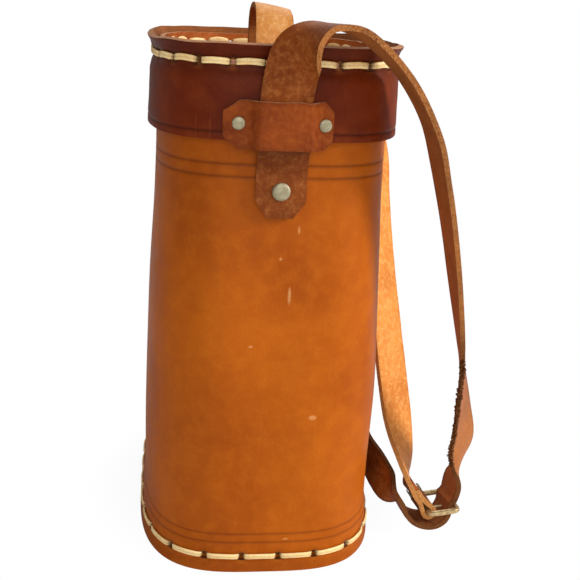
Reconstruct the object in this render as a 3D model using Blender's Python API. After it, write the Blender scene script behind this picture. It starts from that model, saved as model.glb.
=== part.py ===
"""Leather mate bag: a tall laced leather case with a lift-off lid, a top handle and a buckled shoulder strap.

Units are metres and +Z is up. The origin is on the floor, at the middle of the case's base. The narrow end
with the front strap faces -Y and the laced side seam faces +X.
"""
import math

import bmesh
import bpy
from mathutils import Matrix, Vector

MM = 0.001

# Plan outline of the case
ROUNDING = 3.45                    # superellipse exponent of the plan
RING_QUARTER = 10                  # facets in each quarter of the plan
CLEARANCE = 0.3 * MM               # fitted gap between neighbouring pieces

# Case wall: outside half width and half length
BODY_HALF_WIDTH = 75 * MM
BODY_HALF_LENGTH = 103 * MM
NECK_HALF_WIDTH = 69.4 * MM
NECK_HALF_LENGTH = 89.4 * MM
WALL = 3.0 * MM
WALL_TOP = 297.5 * MM
TAPER_START = 95 * MM
TAPER_END = 265 * MM
FOOT_FLARE = 3.7 * MM              # how far the foot stands out of the wall
FOOT_PINCH = 1.8 * MM              # how far it stands out at the lacing
FOOT_TOP = 32 * MM

# Base plate, a dish turned up inside the foot
BASE_LACE_Z = 10 * MM
LACE_BAND = 2.2 * MM               # flat band above and below a row of lacing
BASE_FLANGE_TOP = 20 * MM
PLATE = 2.8 * MM
DISH_CORNER = 3.5 * MM             # turned edge of the base and lid plates
BASE_HOLES = 27                    # odd, so that the lace shows on every interval
BASE_FIRST_HOLE = 8.8 * MM         # along the wall from the middle of the front end

# Lid skirt and lid top
LID_SLIP = 3.1 * MM                # lid's outside over the neck's, all round
LID_HALF_WIDTH = NECK_HALF_WIDTH + LID_SLIP
LID_HALF_LENGTH = NECK_HALF_LENGTH + LID_SLIP
LID_WALL = 3.2 * MM
LID_BOTTOM = 266.5 * MM
LID_RIM = 316 * MM
LID_LACE_Z = 306.5 * MM
LID_EDGE_FLARE = 2.2 * MM
LID_RIM_FLARE = 2.5 * MM
LID_PINCH = -1.2 * MM
LID_SWELL = 1.1 * MM
LID_SEAT_GAP = 0.5 * MM            # lid top above the wall's top edge
LID_FLANGE_TOP = 313 * MM
LID_HOLES = 31
LID_FIRST_HOLE = 9 * MM

# Lacing
LACE_WIDTH = 3.4 * MM
LACE_THICK = 1.2 * MM
LACE_NECK = 1.8 * MM               # height of the lace where it is squeezed in a hole
LACE_PASS = 1.3 * MM               # the two passes lie this far above and below the hole's middle
LACE_LIP = 1.8 * MM
LACE_CROWN = 0.6 * MM
LACE_REST = 0.3 * MM               # least gap between a stitch's end and the leather
HOLE_RADIUS = 3.3 * MM

# Side seams, on +X
SEAM_GAP = 0.4 * MM
SEAM_HOLE_OFFSET = 5 * MM
SEAM_HOLE_RADIUS = 2.2 * MM
SEAM_THONG = 1.1 * MM
SEAM_LIFT = 0.4 * MM
SEAM_BOTTOM = 34 * MM
SEAM_PITCH = 29 * MM
SEAM_RUNGS = 8

# Shoulder strap
STRAP_WIDTH = 28 * MM
STRAP_THICK = 3 * MM
TAB_END = 224 * MM
TAB_CHAMFER_X = 7 * MM
TAB_CHAMFER_Z = 9 * MM
TAB_RIVET_Z = 239 * MM
TAB_LEAVES_WALL = 250 * MM
TAB_CLEARS_LID = 264 * MM
STRAP_STEP = 11 * MM
STRAP_PIVOT_X = 0.0                # the hanging loop swings about this line, along Y
STRAP_PIVOT_Z = 322 * MM

# Keepers riveted to the lid over the strap
KEEPER_LEFT = 33 * MM
KEEPER_RIGHT = 26 * MM
KEEPER_BOTTOM = 262.5 * MM
KEEPER_TOP = 288 * MM
KEEPER_THICK = 2.5 * MM
KEEPER_CLIP_X = 7 * MM
KEEPER_CLIP_Z = 4.5 * MM
KEEPER_RAMP = 3 * MM
KEEPER_RIVET_LEFT = 25 * MM
KEEPER_RIVET_RIGHT = 21.5 * MM
KEEPER_RIVET_Z = 276 * MM

# Handle on the lid
HANDLE_WIDTH = 22 * MM
HANDLE_THICK = 3 * MM
HANDLE_LEG = 28 * MM               # leg's middle from the lid's middle
HANDLE_TOP = 337 * MM
HANDLE_FOOT = 24 * MM
HANDLE_FOOT_BEND = 4 * MM
HANDLE_CORNER = 8 * MM
HANDLE_RIVET = 14 * MM             # rivet from the foot's bend

# Rivets
BIG_HEAD = 5.0 * MM
BIG_RISE = 2.2 * MM
BIG_SHANK = 2.0 * MM
SMALL_HEAD = 3.4 * MM
SMALL_RISE = 1.6 * MM
SMALL_SHANK = 1.5 * MM
CAP_THICK = 1.4 * MM
THIN_CAP = 0.7 * MM                # caps in the narrow space between lid and case
RIVET_SIDES = 10

# Buckle
BUCKLE_HEEL = Vector((114, -60, 15.5)) * MM
BUCKLE_ALONG = Vector((1, 0, 0.14))
BUCKLE_ACROSS = Vector((0.08, -0.96, 0.22))
BUCKLE_LENGTH = 19 * MM            # between the two bars
BUCKLE_HALF_WIDTH = 17.5 * MM
BUCKLE_BAR = 2.0 * MM
PRONG_WIDTH = 2.4 * MM
PRONG_THICK = 1.4 * MM
PRONG_OVERHANG = 3 * MM
PRONG_SLOT = 2.3 * MM
FOLD_ALONG = -0.45                 # the folded end's direction from the heel bar, in the buckle's frame
FOLD_OUTWARD = -0.89
FOLD_START = 8 * MM                # where the two layers lie together, from the heel bar
FOLD_STRAIGHT = 16 * MM
FOLD_STEPS = 2                     # strap steps that the folded end runs on past its straight part
FOLD_RIVET = 12 * MM

# Free course of the shoulder strap: middle of the strap, then its width direction
FRONT_ROUTE = [((0, -96.7, 289), (-1, 0, 0)), ((1.5, -99.5, 303), (-.97, .2, 0)), ((4.5, -105, 315), (-.72, .68, .1)),
               ((11, -107, 323.5), (-.4, .9, .05)), ((20, -107, 327), (-.2, .97, 0)),
               ((36.3, -106, 323.7), (-.08, .99, -.05)), ((60.3, -99.9, 304.4), (-.12, .98, .1)),
               ((79.7, -93.8, 277.1), (-.1, .97, .2)), ((92, -84.1, 248.4), (-.07, .97, .2)),
               ((102.4, -79.4, 214.7), (0, .99, .12)), ((112.6, -74.6, 175.4), (.06, .99, .14)),
               ((123.2, -68.4, 131.9), (.22, .97, .13)), ((131.2, -64.9, 88.1), (.49, .83, .2)),
               ((137.5, -58, 56), (.6, .78, .05))]
REAR_ROUTE = [((0, 96.9, 290), (1, 0, 0)), ((0.2, 98.6, 303), (1, 0, 0)), ((2.4, 103, 311.2), (.92, -.3, .25)),
              ((8, 110.5, 314.3), (.76, -.3, .57)), ((17, 114, 309.5), (.66, -.05, .75)), ((37, 113, 297), (.69, .12, .7)),
              ((61, 106, 282), (.74, .33, .5)), ((79.5, 91, 264), (.77, .5, .12)), ((89.5, 71, 239), (.76, .56, -.2)),
              ((90.6, 47, 206), (.68, .62, -.38)), ((88.7, 20, 165), (.62, .66, -.42)), ((92.2, -10, 112), (.7, .66, -.25)),
              ((97, -32, 68), (.5, .83, -.22)), ((100.2, -50, 42), (.1, .96, -.21))]
TAIL_ROUTE = [((90.2, -50, 24.2), (-.2, .5, -.85)), ((85.7, -38, 29.4), (-.2, .4, -.9)),
              ((82.5, -16, 31.5), (-.05, .25, -.97)), ((83, -2, 34), (0, .2, -.98))]


for old in list(bpy.data.objects):
    bpy.data.objects.remove(old, do_unlink=True)


# Helpers: materials and objects

def material(name, colour, roughness, metallic=0.0):
    mat = bpy.data.materials.new(name)
    mat.use_nodes = True
    shader = mat.node_tree.nodes["Principled BSDF"]
    shader.inputs["Base Color"].default_value = (*colour, 1)
    shader.inputs["Roughness"].default_value = roughness
    shader.inputs["Metallic"].default_value = metallic
    mat.diffuse_color = (*colour, 1)
    return mat


TAN = material("tan_leather", (0.48, 0.115, 0.01), 0.42)
LID_BROWN = material("lid_leather", (0.17, 0.035, 0.008), 0.4)
STRAP_BROWN = material("strap_leather", (0.33, 0.09, 0.016), 0.45)
LACE_CREAM = material("cream_lace", (0.83, 0.62, 0.28), 0.6)
BRASS = material("antique_brass", (0.42, 0.35, 0.2), 0.35, 1.0)


def finish(obj, mat, parent=None):
    """Give a piece its material, smooth its round faces and hang it on its parent."""
    obj.data.materials.append(mat)
    if obj.type == "MESH":
        obj.data.shade_smooth()
        obj.data.set_sharp_from_angle(angle=math.radians(35))
    if parent is not None:
        obj.parent = parent
        obj.matrix_parent_inverse = Matrix.Translation(parent.location).inverted()
    return obj


def joint_empty(name, spot):
    """An empty that carries one moving body."""
    empty = bpy.data.objects.new(name, None)
    empty.location = spot
    bpy.context.scene.collection.objects.link(empty)
    return empty


def mesh_object(name, bm, turn_out=True):
    """Turn a bmesh into a named object."""
    if turn_out:
        bmesh.ops.recalc_face_normals(bm, faces=bm.faces[:])
    mesh = bpy.data.meshes.new(name)
    bm.to_mesh(mesh)
    bm.free()
    obj = bpy.data.objects.new(name, mesh)
    bpy.context.scene.collection.objects.link(obj)
    return obj


def thicken(obj, thickness, offset):
    """Leather of an even thickness, on one side of the drawn surface or on both."""
    mod = obj.modifiers.new("leather", "SOLIDIFY")
    mod.thickness = thickness
    mod.offset = offset
    mod.use_even_offset = True
    return obj


def cut(obj, *cutters):
    """Cut holes or slots with hidden pieces."""
    for cutter in cutters:
        cutter.hide_render = True
        cutter.display_type = "WIRE"
        mod = obj.modifiers.new("cut", "BOOLEAN")
        mod.operation = "DIFFERENCE"
        mod.object = cutter
        mod.solver = "EXACT"
    return obj


# Plan outlines

def unit_quarter():
    """A quarter of the plan on a unit square, from the front end to the side, finer where it turns most."""
    fine = 400
    points = []
    for i in range(fine + 1):
        t = math.pi / 2 * i / fine
        points.append(Vector((math.sin(t) ** (2 / ROUNDING), -math.cos(t) ** (2 / ROUNDING))))
    steps = [(b - a) for a, b in zip(points, points[1:])]
    total = sum(step.length for step in steps)
    turn = [abs(a.angle(b)) for a, b in zip(steps, steps[1:])] + [0.0]
    weight = [0.55 * step.length / total + 0.45 * bend / (math.pi / 2) for step, bend in zip(steps, turn)]
    whole = sum(weight)
    picked = [points[0]]
    run = 0.0
    for i, w in enumerate(weight):
        if len(picked) < RING_QUARTER and run + w >= whole * len(picked) / RING_QUARTER:
            picked.append(points[i + 1])
        run += w
    picked.append(points[-1])
    return picked


QUARTER = unit_quarter()
UNIT_RING = QUARTER[:-1]
UNIT_RING += [Vector((p.x, -p.y)) for p in reversed(QUARTER[1:])]
UNIT_RING += [Vector((-p.x, -p.y)) for p in QUARTER[:-1]]
UNIT_RING += [Vector((-p.x, p.y)) for p in reversed(QUARTER[1:])]


def section(half_width, half_length, grow=0.0):
    """The plan at one level, as a polygon moved out of its own edges by an even amount."""
    ring = [Vector((p.x * half_width, p.y * half_length)) for p in UNIT_RING]
    count = len(ring)
    grown = []
    for i, point in enumerate(ring):
        before = (point - ring[i - 1]).normalized()
        after = (ring[(i + 1) % count] - point).normalized()
        out_a = Vector((before.y, -before.x))
        out_b = Vector((after.y, -after.x))
        middle = (out_a + out_b).normalized()
        grown.append(point + middle * (grow / middle.dot(out_a)))
    return grown


class Outline:
    """A closed polygon, walked by distance from the middle of the front end towards +X."""

    def __init__(self, ring):
        self.ring = ring
        self.edges = [ring[(i + 1) % len(ring)] - ring[i] for i in range(len(ring))]
        self.length = sum(edge.length for edge in self.edges)

    def at(self, distance):
        left = distance % self.length
        for point, edge in zip(self.ring, self.edges):
            if left <= edge.length:
                break
            left -= edge.length
        along = edge.normalized()
        return point + along * left, Vector((along.y, -along.x))

    def front(self, x):
        """The distance to the front face from the middle plane, at one x."""
        for a, edge in zip(self.ring, self.edges):
            b = a + edge
            if a.y < 0 and min(a.x, b.x) <= x <= max(a.x, b.x) and a.x != b.x:
                return -(a.y + (b.y - a.y) * (x - a.x) / (b.x - a.x))
        return -self.ring[0].y


def blend(low, high, share):
    smooth = share * share * (3 - 2 * share)
    return low + (high - low) * smooth


def body_half(z):
    """Outside half width and half length of the case wall at a height, before its foot."""
    share = min(max((z - TAPER_START) / (TAPER_END - TAPER_START), 0.0), 1.0)
    width = blend(BODY_HALF_WIDTH, NECK_HALF_WIDTH, share)
    length = blend(BODY_HALF_LENGTH, NECK_HALF_LENGTH, share)
    return width, length


def foot_out(z):
    """How far the foot stands out at a height."""
    if z >= FOOT_TOP:
        return 0.0
    low, high = BASE_LACE_Z - LACE_BAND, BASE_LACE_Z + LACE_BAND
    if z >= high:
        return FOOT_PINCH * (FOOT_TOP - z) / (FOOT_TOP - high)
    return FOOT_PINCH + (FOOT_FLARE - FOOT_PINCH) * max(1 - z / low, 0.0)


TAPER = TAPER_END - TAPER_START
BODY_LEVELS = [0, BASE_LACE_Z - LACE_BAND, BASE_LACE_Z + LACE_BAND, FOOT_TOP, TAPER_START, TAPER_START + TAPER * 0.33,
               TAPER_START + TAPER * 0.67, TAPER_END, WALL_TOP]


def body_section(z, grow=0.0):
    return section(*body_half(z), foot_out(z) + grow)


def wall_half_length(z):
    """The front face's distance at a height, on the faceted wall."""
    for low, high in zip(BODY_LEVELS, BODY_LEVELS[1:]):
        if z <= high:
            a, b = body_half(low)[1] + foot_out(low), body_half(high)[1] + foot_out(high)
            return a + (b - a) * (z - low) / (high - low)
    return NECK_HALF_LENGTH


LID_PROFILE = [(LID_BOTTOM, LID_EDGE_FLARE), (WALL_TOP, LID_SWELL), (LID_LACE_Z - LACE_BAND, LID_PINCH),
               (LID_LACE_Z + LACE_BAND, LID_PINCH), (LID_RIM, LID_RIM_FLARE)]


def lid_out(z):
    """How far the lid skirt stands out of its reference outline at a height."""
    for (low, a), (high, b) in zip(LID_PROFILE, LID_PROFILE[1:]):
        if z <= high:
            return a + (b - a) * max(z - low, 0.0) / (high - low)
    return LID_PROFILE[-1][1]


def lid_section(z, grow=0.0):
    return section(LID_HALF_WIDTH, LID_HALF_LENGTH, lid_out(z) + grow)


# Shells, ribbons, laces and rivets

def extrude_to(bm, loop, corners, points):
    """Extrude open edges one step, moving each new corner to its own point."""
    grown = bmesh.ops.extrude_edge_only(bm, edges=loop)["geom"]
    fresh = {v for v in grown if isinstance(v, bmesh.types.BMVert)}
    above = {}
    for vert in fresh:
        below = next(e.other_vert(vert) for e in vert.link_edges if e.other_vert(vert) not in fresh)
        above[below] = vert
    corners = [above[v] for v in corners]
    for vert, point in zip(corners, points):
        vert.co = point
    loop = [e for e in grown if isinstance(e, bmesh.types.BMEdge) and set(e.verts) <= fresh]
    return loop, corners


def draw(bm, points, closed):
    """A row of corners joined by edges."""
    corners = [bm.verts.new(p) for p in points]
    pairs = list(zip(corners, corners[1:] + corners[:1] if closed else corners[1:]))
    return [bm.edges.new(pair) for pair in pairs], corners


def shell(name, rings, thickness, closed_end=False):
    """Leather raised ring by ring from a drawn outline, with its thickness inside."""
    bm = bmesh.new()
    rows = [[(p.x, p.y, z) for p in ring] for ring, z in rings]
    loop, corners = draw(bm, rows[0], True)
    for row in rows[1:]:
        loop, corners = extrude_to(bm, loop, corners, row)
    if closed_end:
        bmesh.ops.contextual_create(bm, geom=loop)
    bmesh.ops.recalc_face_normals(bm, faces=bm.faces[:])
    middle = sum((v.co for v in bm.verts), Vector()) / len(bm.verts)
    if sum(f.normal.dot(f.calc_center_median() - middle) * f.calc_area() for f in bm.faces) < 0:
        bmesh.ops.reverse_faces(bm, faces=bm.faces[:])
    return thicken(mesh_object(name, bm, False), thickness, -1.0)


def ribbon(name, pairs, thickness):
    """A flat strap through pairs of edge points, with its thickness on both sides."""
    bm = bmesh.new()
    loop, corners = draw(bm, pairs[0], False)
    for pair in pairs[1:]:
        loop, corners = extrude_to(bm, loop, corners, pair)
    return thicken(mesh_object(name, bm), thickness, 0.0)


def block(name, centre, size, turn=None):
    """A box cutter, turned by a matrix of its own axes."""
    bm = bmesh.new()
    bmesh.ops.create_cube(bm, size=1.0)
    bmesh.ops.scale(bm, vec=size, verts=bm.verts)
    if turn is not None:
        bmesh.ops.rotate(bm, matrix=turn, verts=bm.verts)
    bmesh.ops.translate(bm, vec=centre, verts=bm.verts)
    return mesh_object(name, bm)


def pins(name, places, radius, start, end, sides=8):
    """Round cutters along their own directions, all in one object."""
    bm = bmesh.new()
    for point, direction in places:
        turn = direction.to_track_quat("Z", "X").to_matrix().to_4x4()
        middle = point + direction * (start + end) / 2
        bmesh.ops.create_cone(bm, cap_ends=True, segments=sides, radius1=radius, radius2=radius,
                              depth=abs(end - start), matrix=Matrix.Translation(middle) @ turn)
    return mesh_object(name, bm)


def turned(name, profile, point, direction):
    """A round piece spun from a profile of radius and height, standing on a point along a direction."""
    bm = bmesh.new()
    edges, corners = draw(bm, [(r, 0, h) for r, h in profile], False)
    bmesh.ops.spin(bm, geom=edges + corners, axis=(0, 0, 1), cent=(0, 0, 0), steps=RIVET_SIDES, angle=2 * math.pi)
    bmesh.ops.remove_doubles(bm, verts=bm.verts, dist=1e-6)
    obj = mesh_object(name, bm)
    obj.location = point
    obj.rotation_mode = "QUATERNION"
    obj.rotation_quaternion = direction.to_track_quat("Z", "X")
    return obj


def rivet(name, point, direction, head, rise, shank, length, cap, parent):
    """A domed stud whose head stands on the leather and whose shank ends just short of its own cap."""
    profile = [(0, rise), (head * 0.55, rise * 0.82), (head, rise * 0.25), (head, 0), (shank, 0), (shank, -length),
               (0, -length)]
    stud = turned(name, profile, point + direction * CLEARANCE, direction)
    back = point - direction * (length + CLEARANCE)
    cap_profile = [(0, 0), (head * 0.9, 0), (head * 0.9, cap * 0.55), (head * 0.5, cap), (0, cap)]
    disc = turned(name + "_cap", cap_profile, back, -direction)
    finish(stud, BRASS, parent)
    finish(disc, BRASS, parent)
    return stud, disc


def row_lace(name, outline, level, holes, first, depth):
    """A flat lace run twice round a row of holes, so that every interval is covered inside and out."""
    pitch = outline.length / holes
    outer = LACE_REST + LACE_THICK
    inner = -(depth + LACE_REST + LACE_THICK)
    stations = []
    for j in range(2 * holes):
        s = first + j * pitch
        rise = LACE_PASS if j < holes else -LACE_PASS
        enter, leave = (outer, inner) if j % 2 == 0 else (inner, outer)
        stations.append((s - LACE_LIP, enter, rise, LACE_NECK))
        stations.append((s, -depth / 2, rise, LACE_NECK))
        stations.append((s + LACE_LIP, leave, rise, LACE_NECK))
        turn = outline.at(s)[1].angle(outline.at(s + pitch)[1])
        steps = 4 if turn > math.radians(25) else 3 if turn > math.radians(12) else 2
        crown = LACE_CROWN if leave > 0 else -LACE_CROWN
        for i in range(1, steps):
            share = i / steps
            stations.append((s + LACE_LIP + (pitch - 2 * LACE_LIP) * share, leave + crown * min(share, 1 - share) * 2,
                             0.0, LACE_WIDTH))
    middles = []
    for s, out, rise, _ in stations:
        point, normal = outline.at(s)
        spot = point + normal * out
        middles.append(Vector((spot.x, spot.y, level + rise)))
    sections = []
    for i, (middle, station) in enumerate(zip(middles, stations)):
        ahead = (middles[(i + 1) % len(middles)] - middle).normalized()
        behind = (middle - middles[i - 1]).normalized()
        course = ahead + behind
        across = Vector((course.y, -course.x, 0)).normalized() * LACE_THICK / 2
        up = Vector((0, 0, station[3] / 2))
        sections.append([middle + across - up, middle + across + up, middle - across + up, middle - across - up])
    bm = bmesh.new()
    start, first_corners = draw(bm, sections[0], True)
    loop, corners = start, first_corners
    for points in sections[1:]:
        loop, corners = extrude_to(bm, loop, corners, points)
    bmesh.ops.bridge_loops(bm, edges=loop + start)
    return mesh_object(name, bm)


def seam_lace(name, wall_out, depth, bottom, pitch, rungs):
    """A round thong across the side seam: a rung outside at each level, then up to the next one inside."""
    reach = SEAM_THONG + SEAM_LIFT
    points = []
    side = 1
    for i in range(rungs):
        z = bottom + i * pitch
        out = wall_out(z)
        if i == 0:
            points.append((out - depth / 2, side * SEAM_HOLE_OFFSET, z))
        points.append((out + reach * 0.6, side * (SEAM_HOLE_OFFSET - 0.4 * MM), z))
        points.append((out + reach, side * SEAM_HOLE_OFFSET * 0.4, z))
        points.append((out + reach, -side * SEAM_HOLE_OFFSET * 0.4, z))
        points.append((out + reach * 0.6, -side * (SEAM_HOLE_OFFSET - 0.4 * MM), z))
        side = -side
        points.append((out - depth / 2, side * SEAM_HOLE_OFFSET, z))
        if i < rungs - 1:
            above = wall_out(z + pitch)
            points.append((out - depth - reach * 0.6, side * SEAM_HOLE_OFFSET, z + 0.8 * MM))
            points.append((out - depth - reach, side * SEAM_HOLE_OFFSET, z + 2.5 * MM))
            points.append((above - depth - reach, side * SEAM_HOLE_OFFSET, z + pitch - 2.5 * MM))
            points.append((above - depth - reach * 0.6, side * SEAM_HOLE_OFFSET, z + pitch - 0.8 * MM))
            points.append((above - depth / 2, side * SEAM_HOLE_OFFSET, z + pitch))
    curve = bpy.data.curves.new(name, "CURVE")
    curve.dimensions = "3D"
    curve.bevel_depth = SEAM_THONG
    curve.bevel_resolution = 0
    curve.use_fill_caps = True
    spline = curve.splines.new("POLY")
    spline.points.add(len(points) - 1)
    for spot, point in zip(spline.points, points):
        spot.co = (*point, 1)
    obj = bpy.data.objects.new(name, curve)
    bpy.context.scene.collection.objects.link(obj)
    return obj


def seam_holes(name, wall_out, bottom, pitch, rungs):
    """Cutters for both columns of seam holes."""
    places = []
    for i in range(rungs):
        z = bottom + i * pitch
        for side in (1, -1):
            places.append((Vector((wall_out(z), side * SEAM_HOLE_OFFSET, z)), Vector((1, 0, 0))))
    return pins(name, places, SEAM_HOLE_RADIUS, -8 * MM, 4 * MM, 6)


# Strap courses

def smooth_course(route, step):
    """Evenly spaced stations on a smooth curve through the route's own points."""
    spots = [Vector(p) * MM for p, _ in route]
    widths = [Vector(w).normalized() for _, w in route]
    fine = []
    for i in range(len(spots) - 1):
        for k in range(20):
            t = k / 20
            fine.append((catmull(spots, i, t), catmull(widths, i, t)))
    fine.append((spots[-1], widths[-1]))
    lengths = [0.0]
    for (a, _), (b, _) in zip(fine, fine[1:]):
        lengths.append(lengths[-1] + (b - a).length)
    count = max(2, round(lengths[-1] / step))
    picked = []
    for n in range(count + 1):
        target = lengths[-1] * n / count
        i = min(range(len(fine)), key=lambda k: abs(lengths[k] - target))
        picked.append(fine[i])
    return picked


def catmull(values, i, t):
    """A point between two of the values, on a curve through them all."""
    a = values[max(i - 1, 0)]
    b = values[i]
    c = values[i + 1]
    d = values[min(i + 2, len(values) - 1)]
    return 0.5 * (2 * b + (c - a) * t + (2 * a - 5 * b + 4 * c - d) * t * t + (3 * b - a - 3 * c + d) * t ** 3)


def edges_of(stations, half_width):
    """The two edge points at each station, with the width square to the strap's course."""
    pairs = []
    for i, (spot, width) in enumerate(stations):
        ahead = stations[min(i + 1, len(stations) - 1)][0]
        behind = stations[max(i - 1, 0)][0]
        course = (ahead - behind).normalized()
        across = (width - course * width.dot(course)).normalized() * half_width
        pairs.append((spot - across, spot + across))
    return pairs


def strap_normal(stations, i):
    """The direction out of the strap's grain side at a station."""
    ahead = stations[min(i + 1, len(stations) - 1)][0]
    behind = stations[max(i - 1, 0)][0]
    course = (ahead - behind).normalized()
    width = stations[i][1]
    width = (width - course * width.dot(course)).normalized()
    return course.cross(width).normalized()


ALONG = BUCKLE_ALONG.normalized()
ACROSS = (BUCKLE_ACROSS - ALONG * BUCKLE_ACROSS.dot(ALONG)).normalized()
OUTWARD = ALONG.cross(ACROSS)
HALF_STRAP = STRAP_THICK / 2
LAYER = STRAP_THICK + CLEARANCE
WRAP = BUCKLE_BAR + CLEARANCE + HALF_STRAP


def at_buckle(along, outward, across=0.0):
    """A point in the buckle's own frame, from the middle of its heel bar."""
    return BUCKLE_HEEL + ALONG * along + OUTWARD * outward + ACROSS * across


def tab_stations():
    """The strap's riveted end, up the wall and over the lid's edge to below its keeper."""
    levels = [TAB_END, TAB_END + TAB_CHAMFER_Z, TAB_RIVET_Z, TAB_LEAVES_WALL, TAB_CLEARS_LID, KEEPER_RIVET_Z]
    stations = []
    for z in levels:
        if z <= TAB_LEAVES_WALL:
            out = wall_half_length(z) + CLEARANCE + HALF_STRAP
        else:
            out = LID_HALF_LENGTH + LID_EDGE_FLARE + CLEARANCE + HALF_STRAP
        stations.append((Vector((0, -out, z)), Vector((-1, 0, 0))))
    return stations


def chamfered(pairs, narrow):
    """Clip the corners of a strap's first pair of edge points."""
    (a, b), rest = pairs[0], pairs[1:]
    middle = (a + b) / 2
    share = 1 - 2 * narrow / (a - b).length
    return [(middle + (a - middle) * share, middle + (b - middle) * share)] + rest


# The case: one wall of leather, laced to a dished base plate and along its side seam

root = joint_empty("body", (0, 0, 0))

base_outline = Outline(body_section(BASE_LACE_Z))
base_pitch = base_outline.length / BASE_HOLES
base_spots = []
for k in range(BASE_HOLES):
    spot, normal = base_outline.at(BASE_FIRST_HOLE + k * base_pitch)
    base_spots.append((Vector((spot.x, spot.y, BASE_LACE_Z)), Vector((normal.x, normal.y, 0))))
base_depth = WALL + CLEARANCE + PLATE
base_pins = pins("base_hole_cutter", base_spots, HOLE_RADIUS, -base_depth - 3 * MM, 3 * MM, 6)


def wall_out_at_seam(z):
    """The wall's outer face at the seam, on the faceted wall."""
    for low, high in zip(BODY_LEVELS, BODY_LEVELS[1:]):
        if z <= high:
            a, b = body_half(low)[0] + foot_out(low), body_half(high)[0] + foot_out(high)
            return a + (b - a) * (z - low) / (high - low)
    return NECK_HALF_WIDTH


body_wall = shell("body_wall", [(body_section(z), z) for z in BODY_LEVELS], WALL)
seam_slot = block("seam_slot_cutter", (BODY_HALF_WIDTH, 0, WALL_TOP / 2), (30 * MM, SEAM_GAP, WALL_TOP + 20 * MM))
seam_pins = seam_holes("seam_hole_cutter", wall_out_at_seam, SEAM_BOTTOM, SEAM_PITCH, SEAM_RUNGS)

front = Vector((0, -1, 0))
rear = Vector((0, 1, 0))
tab_face = wall_half_length(TAB_RIVET_Z)
tab_pins = pins("tab_rivet_cutter", [(Vector((0, -tab_face, TAB_RIVET_Z)), front),
                                     (Vector((0, tab_face, TAB_RIVET_Z)), rear)],
                BIG_SHANK + CLEARANCE, -8 * MM, 8 * MM, RIVET_SIDES)
floor_block = block("floor_cutter", (0, 0, -5 * MM), (200 * MM, 260 * MM, 10 * MM))
cut(body_wall, base_pins, seam_slot, seam_pins, tab_pins, floor_block)
finish(body_wall, TAN, root)

plate_levels = (BASE_FLANGE_TOP, BASE_LACE_Z + LACE_BAND, BASE_LACE_Z - LACE_BAND)
plate_rings = [(body_section(z, -WALL - CLEARANCE), z) for z in plate_levels]
plate_rings.append((body_section(plate_levels[-1], -WALL - CLEARANCE), DISH_CORNER))
plate_rings.append((body_section(plate_levels[-1], -WALL - CLEARANCE - DISH_CORNER), 0.0))
base_plate = shell("base_plate", plate_rings, PLATE, True)
cut(base_plate, base_pins)
finish(base_plate, TAN, root)

base_lace = row_lace("base_lace", base_outline, BASE_LACE_Z, BASE_HOLES, BASE_FIRST_HOLE, base_depth)
finish(base_lace, LACE_CREAM, root)

body_seam_lace = seam_lace("body_seam_lace", wall_out_at_seam, WALL, SEAM_BOTTOM, SEAM_PITCH, SEAM_RUNGS)
finish(body_seam_lace, LACE_CREAM, root)

# The lid: a skirt laced round a recessed top plate

lid = joint_empty("lid", (0, 0, LID_BOTTOM))

lid_outline = Outline(lid_section(LID_LACE_Z))
lid_pitch = lid_outline.length / LID_HOLES
lid_spots = []
for k in range(LID_HOLES):
    spot, normal = lid_outline.at(LID_FIRST_HOLE + k * lid_pitch)
    lid_spots.append((Vector((spot.x, spot.y, LID_LACE_Z)), Vector((normal.x, normal.y, 0))))
lid_depth = LID_WALL + CLEARANCE + PLATE
lid_pins = pins("lid_hole_cutter", lid_spots, HOLE_RADIUS, -lid_depth - 3 * MM, 3 * MM, 6)

lid_skirt = shell("lid_skirt", [(lid_section(z), z) for z, _ in LID_PROFILE], LID_WALL)

keeper_face = LID_HALF_LENGTH + lid_out(KEEPER_RIVET_Z)
keeper_outline = Outline(lid_section(KEEPER_RIVET_Z))
keeper_spots = []
for side in (front, rear):
    for x in (-KEEPER_RIVET_LEFT, KEEPER_RIVET_RIGHT):
        y = keeper_outline.front(x)
        keeper_spots.append((Vector((-side.y * x, side.y * y, KEEPER_RIVET_Z)), side))
keeper_pins = pins("keeper_rivet_cutter", keeper_spots, SMALL_SHANK + CLEARANCE, -8 * MM, 8 * MM, RIVET_SIDES)
cut(lid_skirt, lid_pins, keeper_pins)
finish(lid_skirt, LID_BROWN, lid)

lid_floor = WALL_TOP + LID_SEAT_GAP
lid_top_face = lid_floor + PLATE
lid_rings = [(lid_section(LID_LACE_Z, -LID_WALL - CLEARANCE), LID_FLANGE_TOP),
             (lid_section(LID_LACE_Z, -LID_WALL - CLEARANCE), lid_floor + DISH_CORNER),
             (lid_section(LID_LACE_Z, -LID_WALL - CLEARANCE - DISH_CORNER), lid_floor)]
lid_top = shell("lid_top", lid_rings, PLATE, True)
handle_spots = []
for sign in (-1, 1):
    y = sign * (HANDLE_LEG + HANDLE_THICK / 2 + HANDLE_FOOT_BEND + HANDLE_RIVET)
    handle_spots.append((Vector((0, y, lid_top_face)), Vector((0, 0, 1))))
handle_pins = pins("handle_rivet_cutter", handle_spots, SMALL_SHANK + CLEARANCE, -8 * MM, 8 * MM, RIVET_SIDES)
cut(lid_top, lid_pins, handle_pins)
finish(lid_top, LID_BROWN, lid)

lid_lace = row_lace("lid_lace", lid_outline, LID_LACE_Z, LID_HOLES, LID_FIRST_HOLE, lid_depth)
finish(lid_lace, LACE_CREAM, lid)


# Keepers: bowed over the strap and riveted to the skirt beside it

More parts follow.
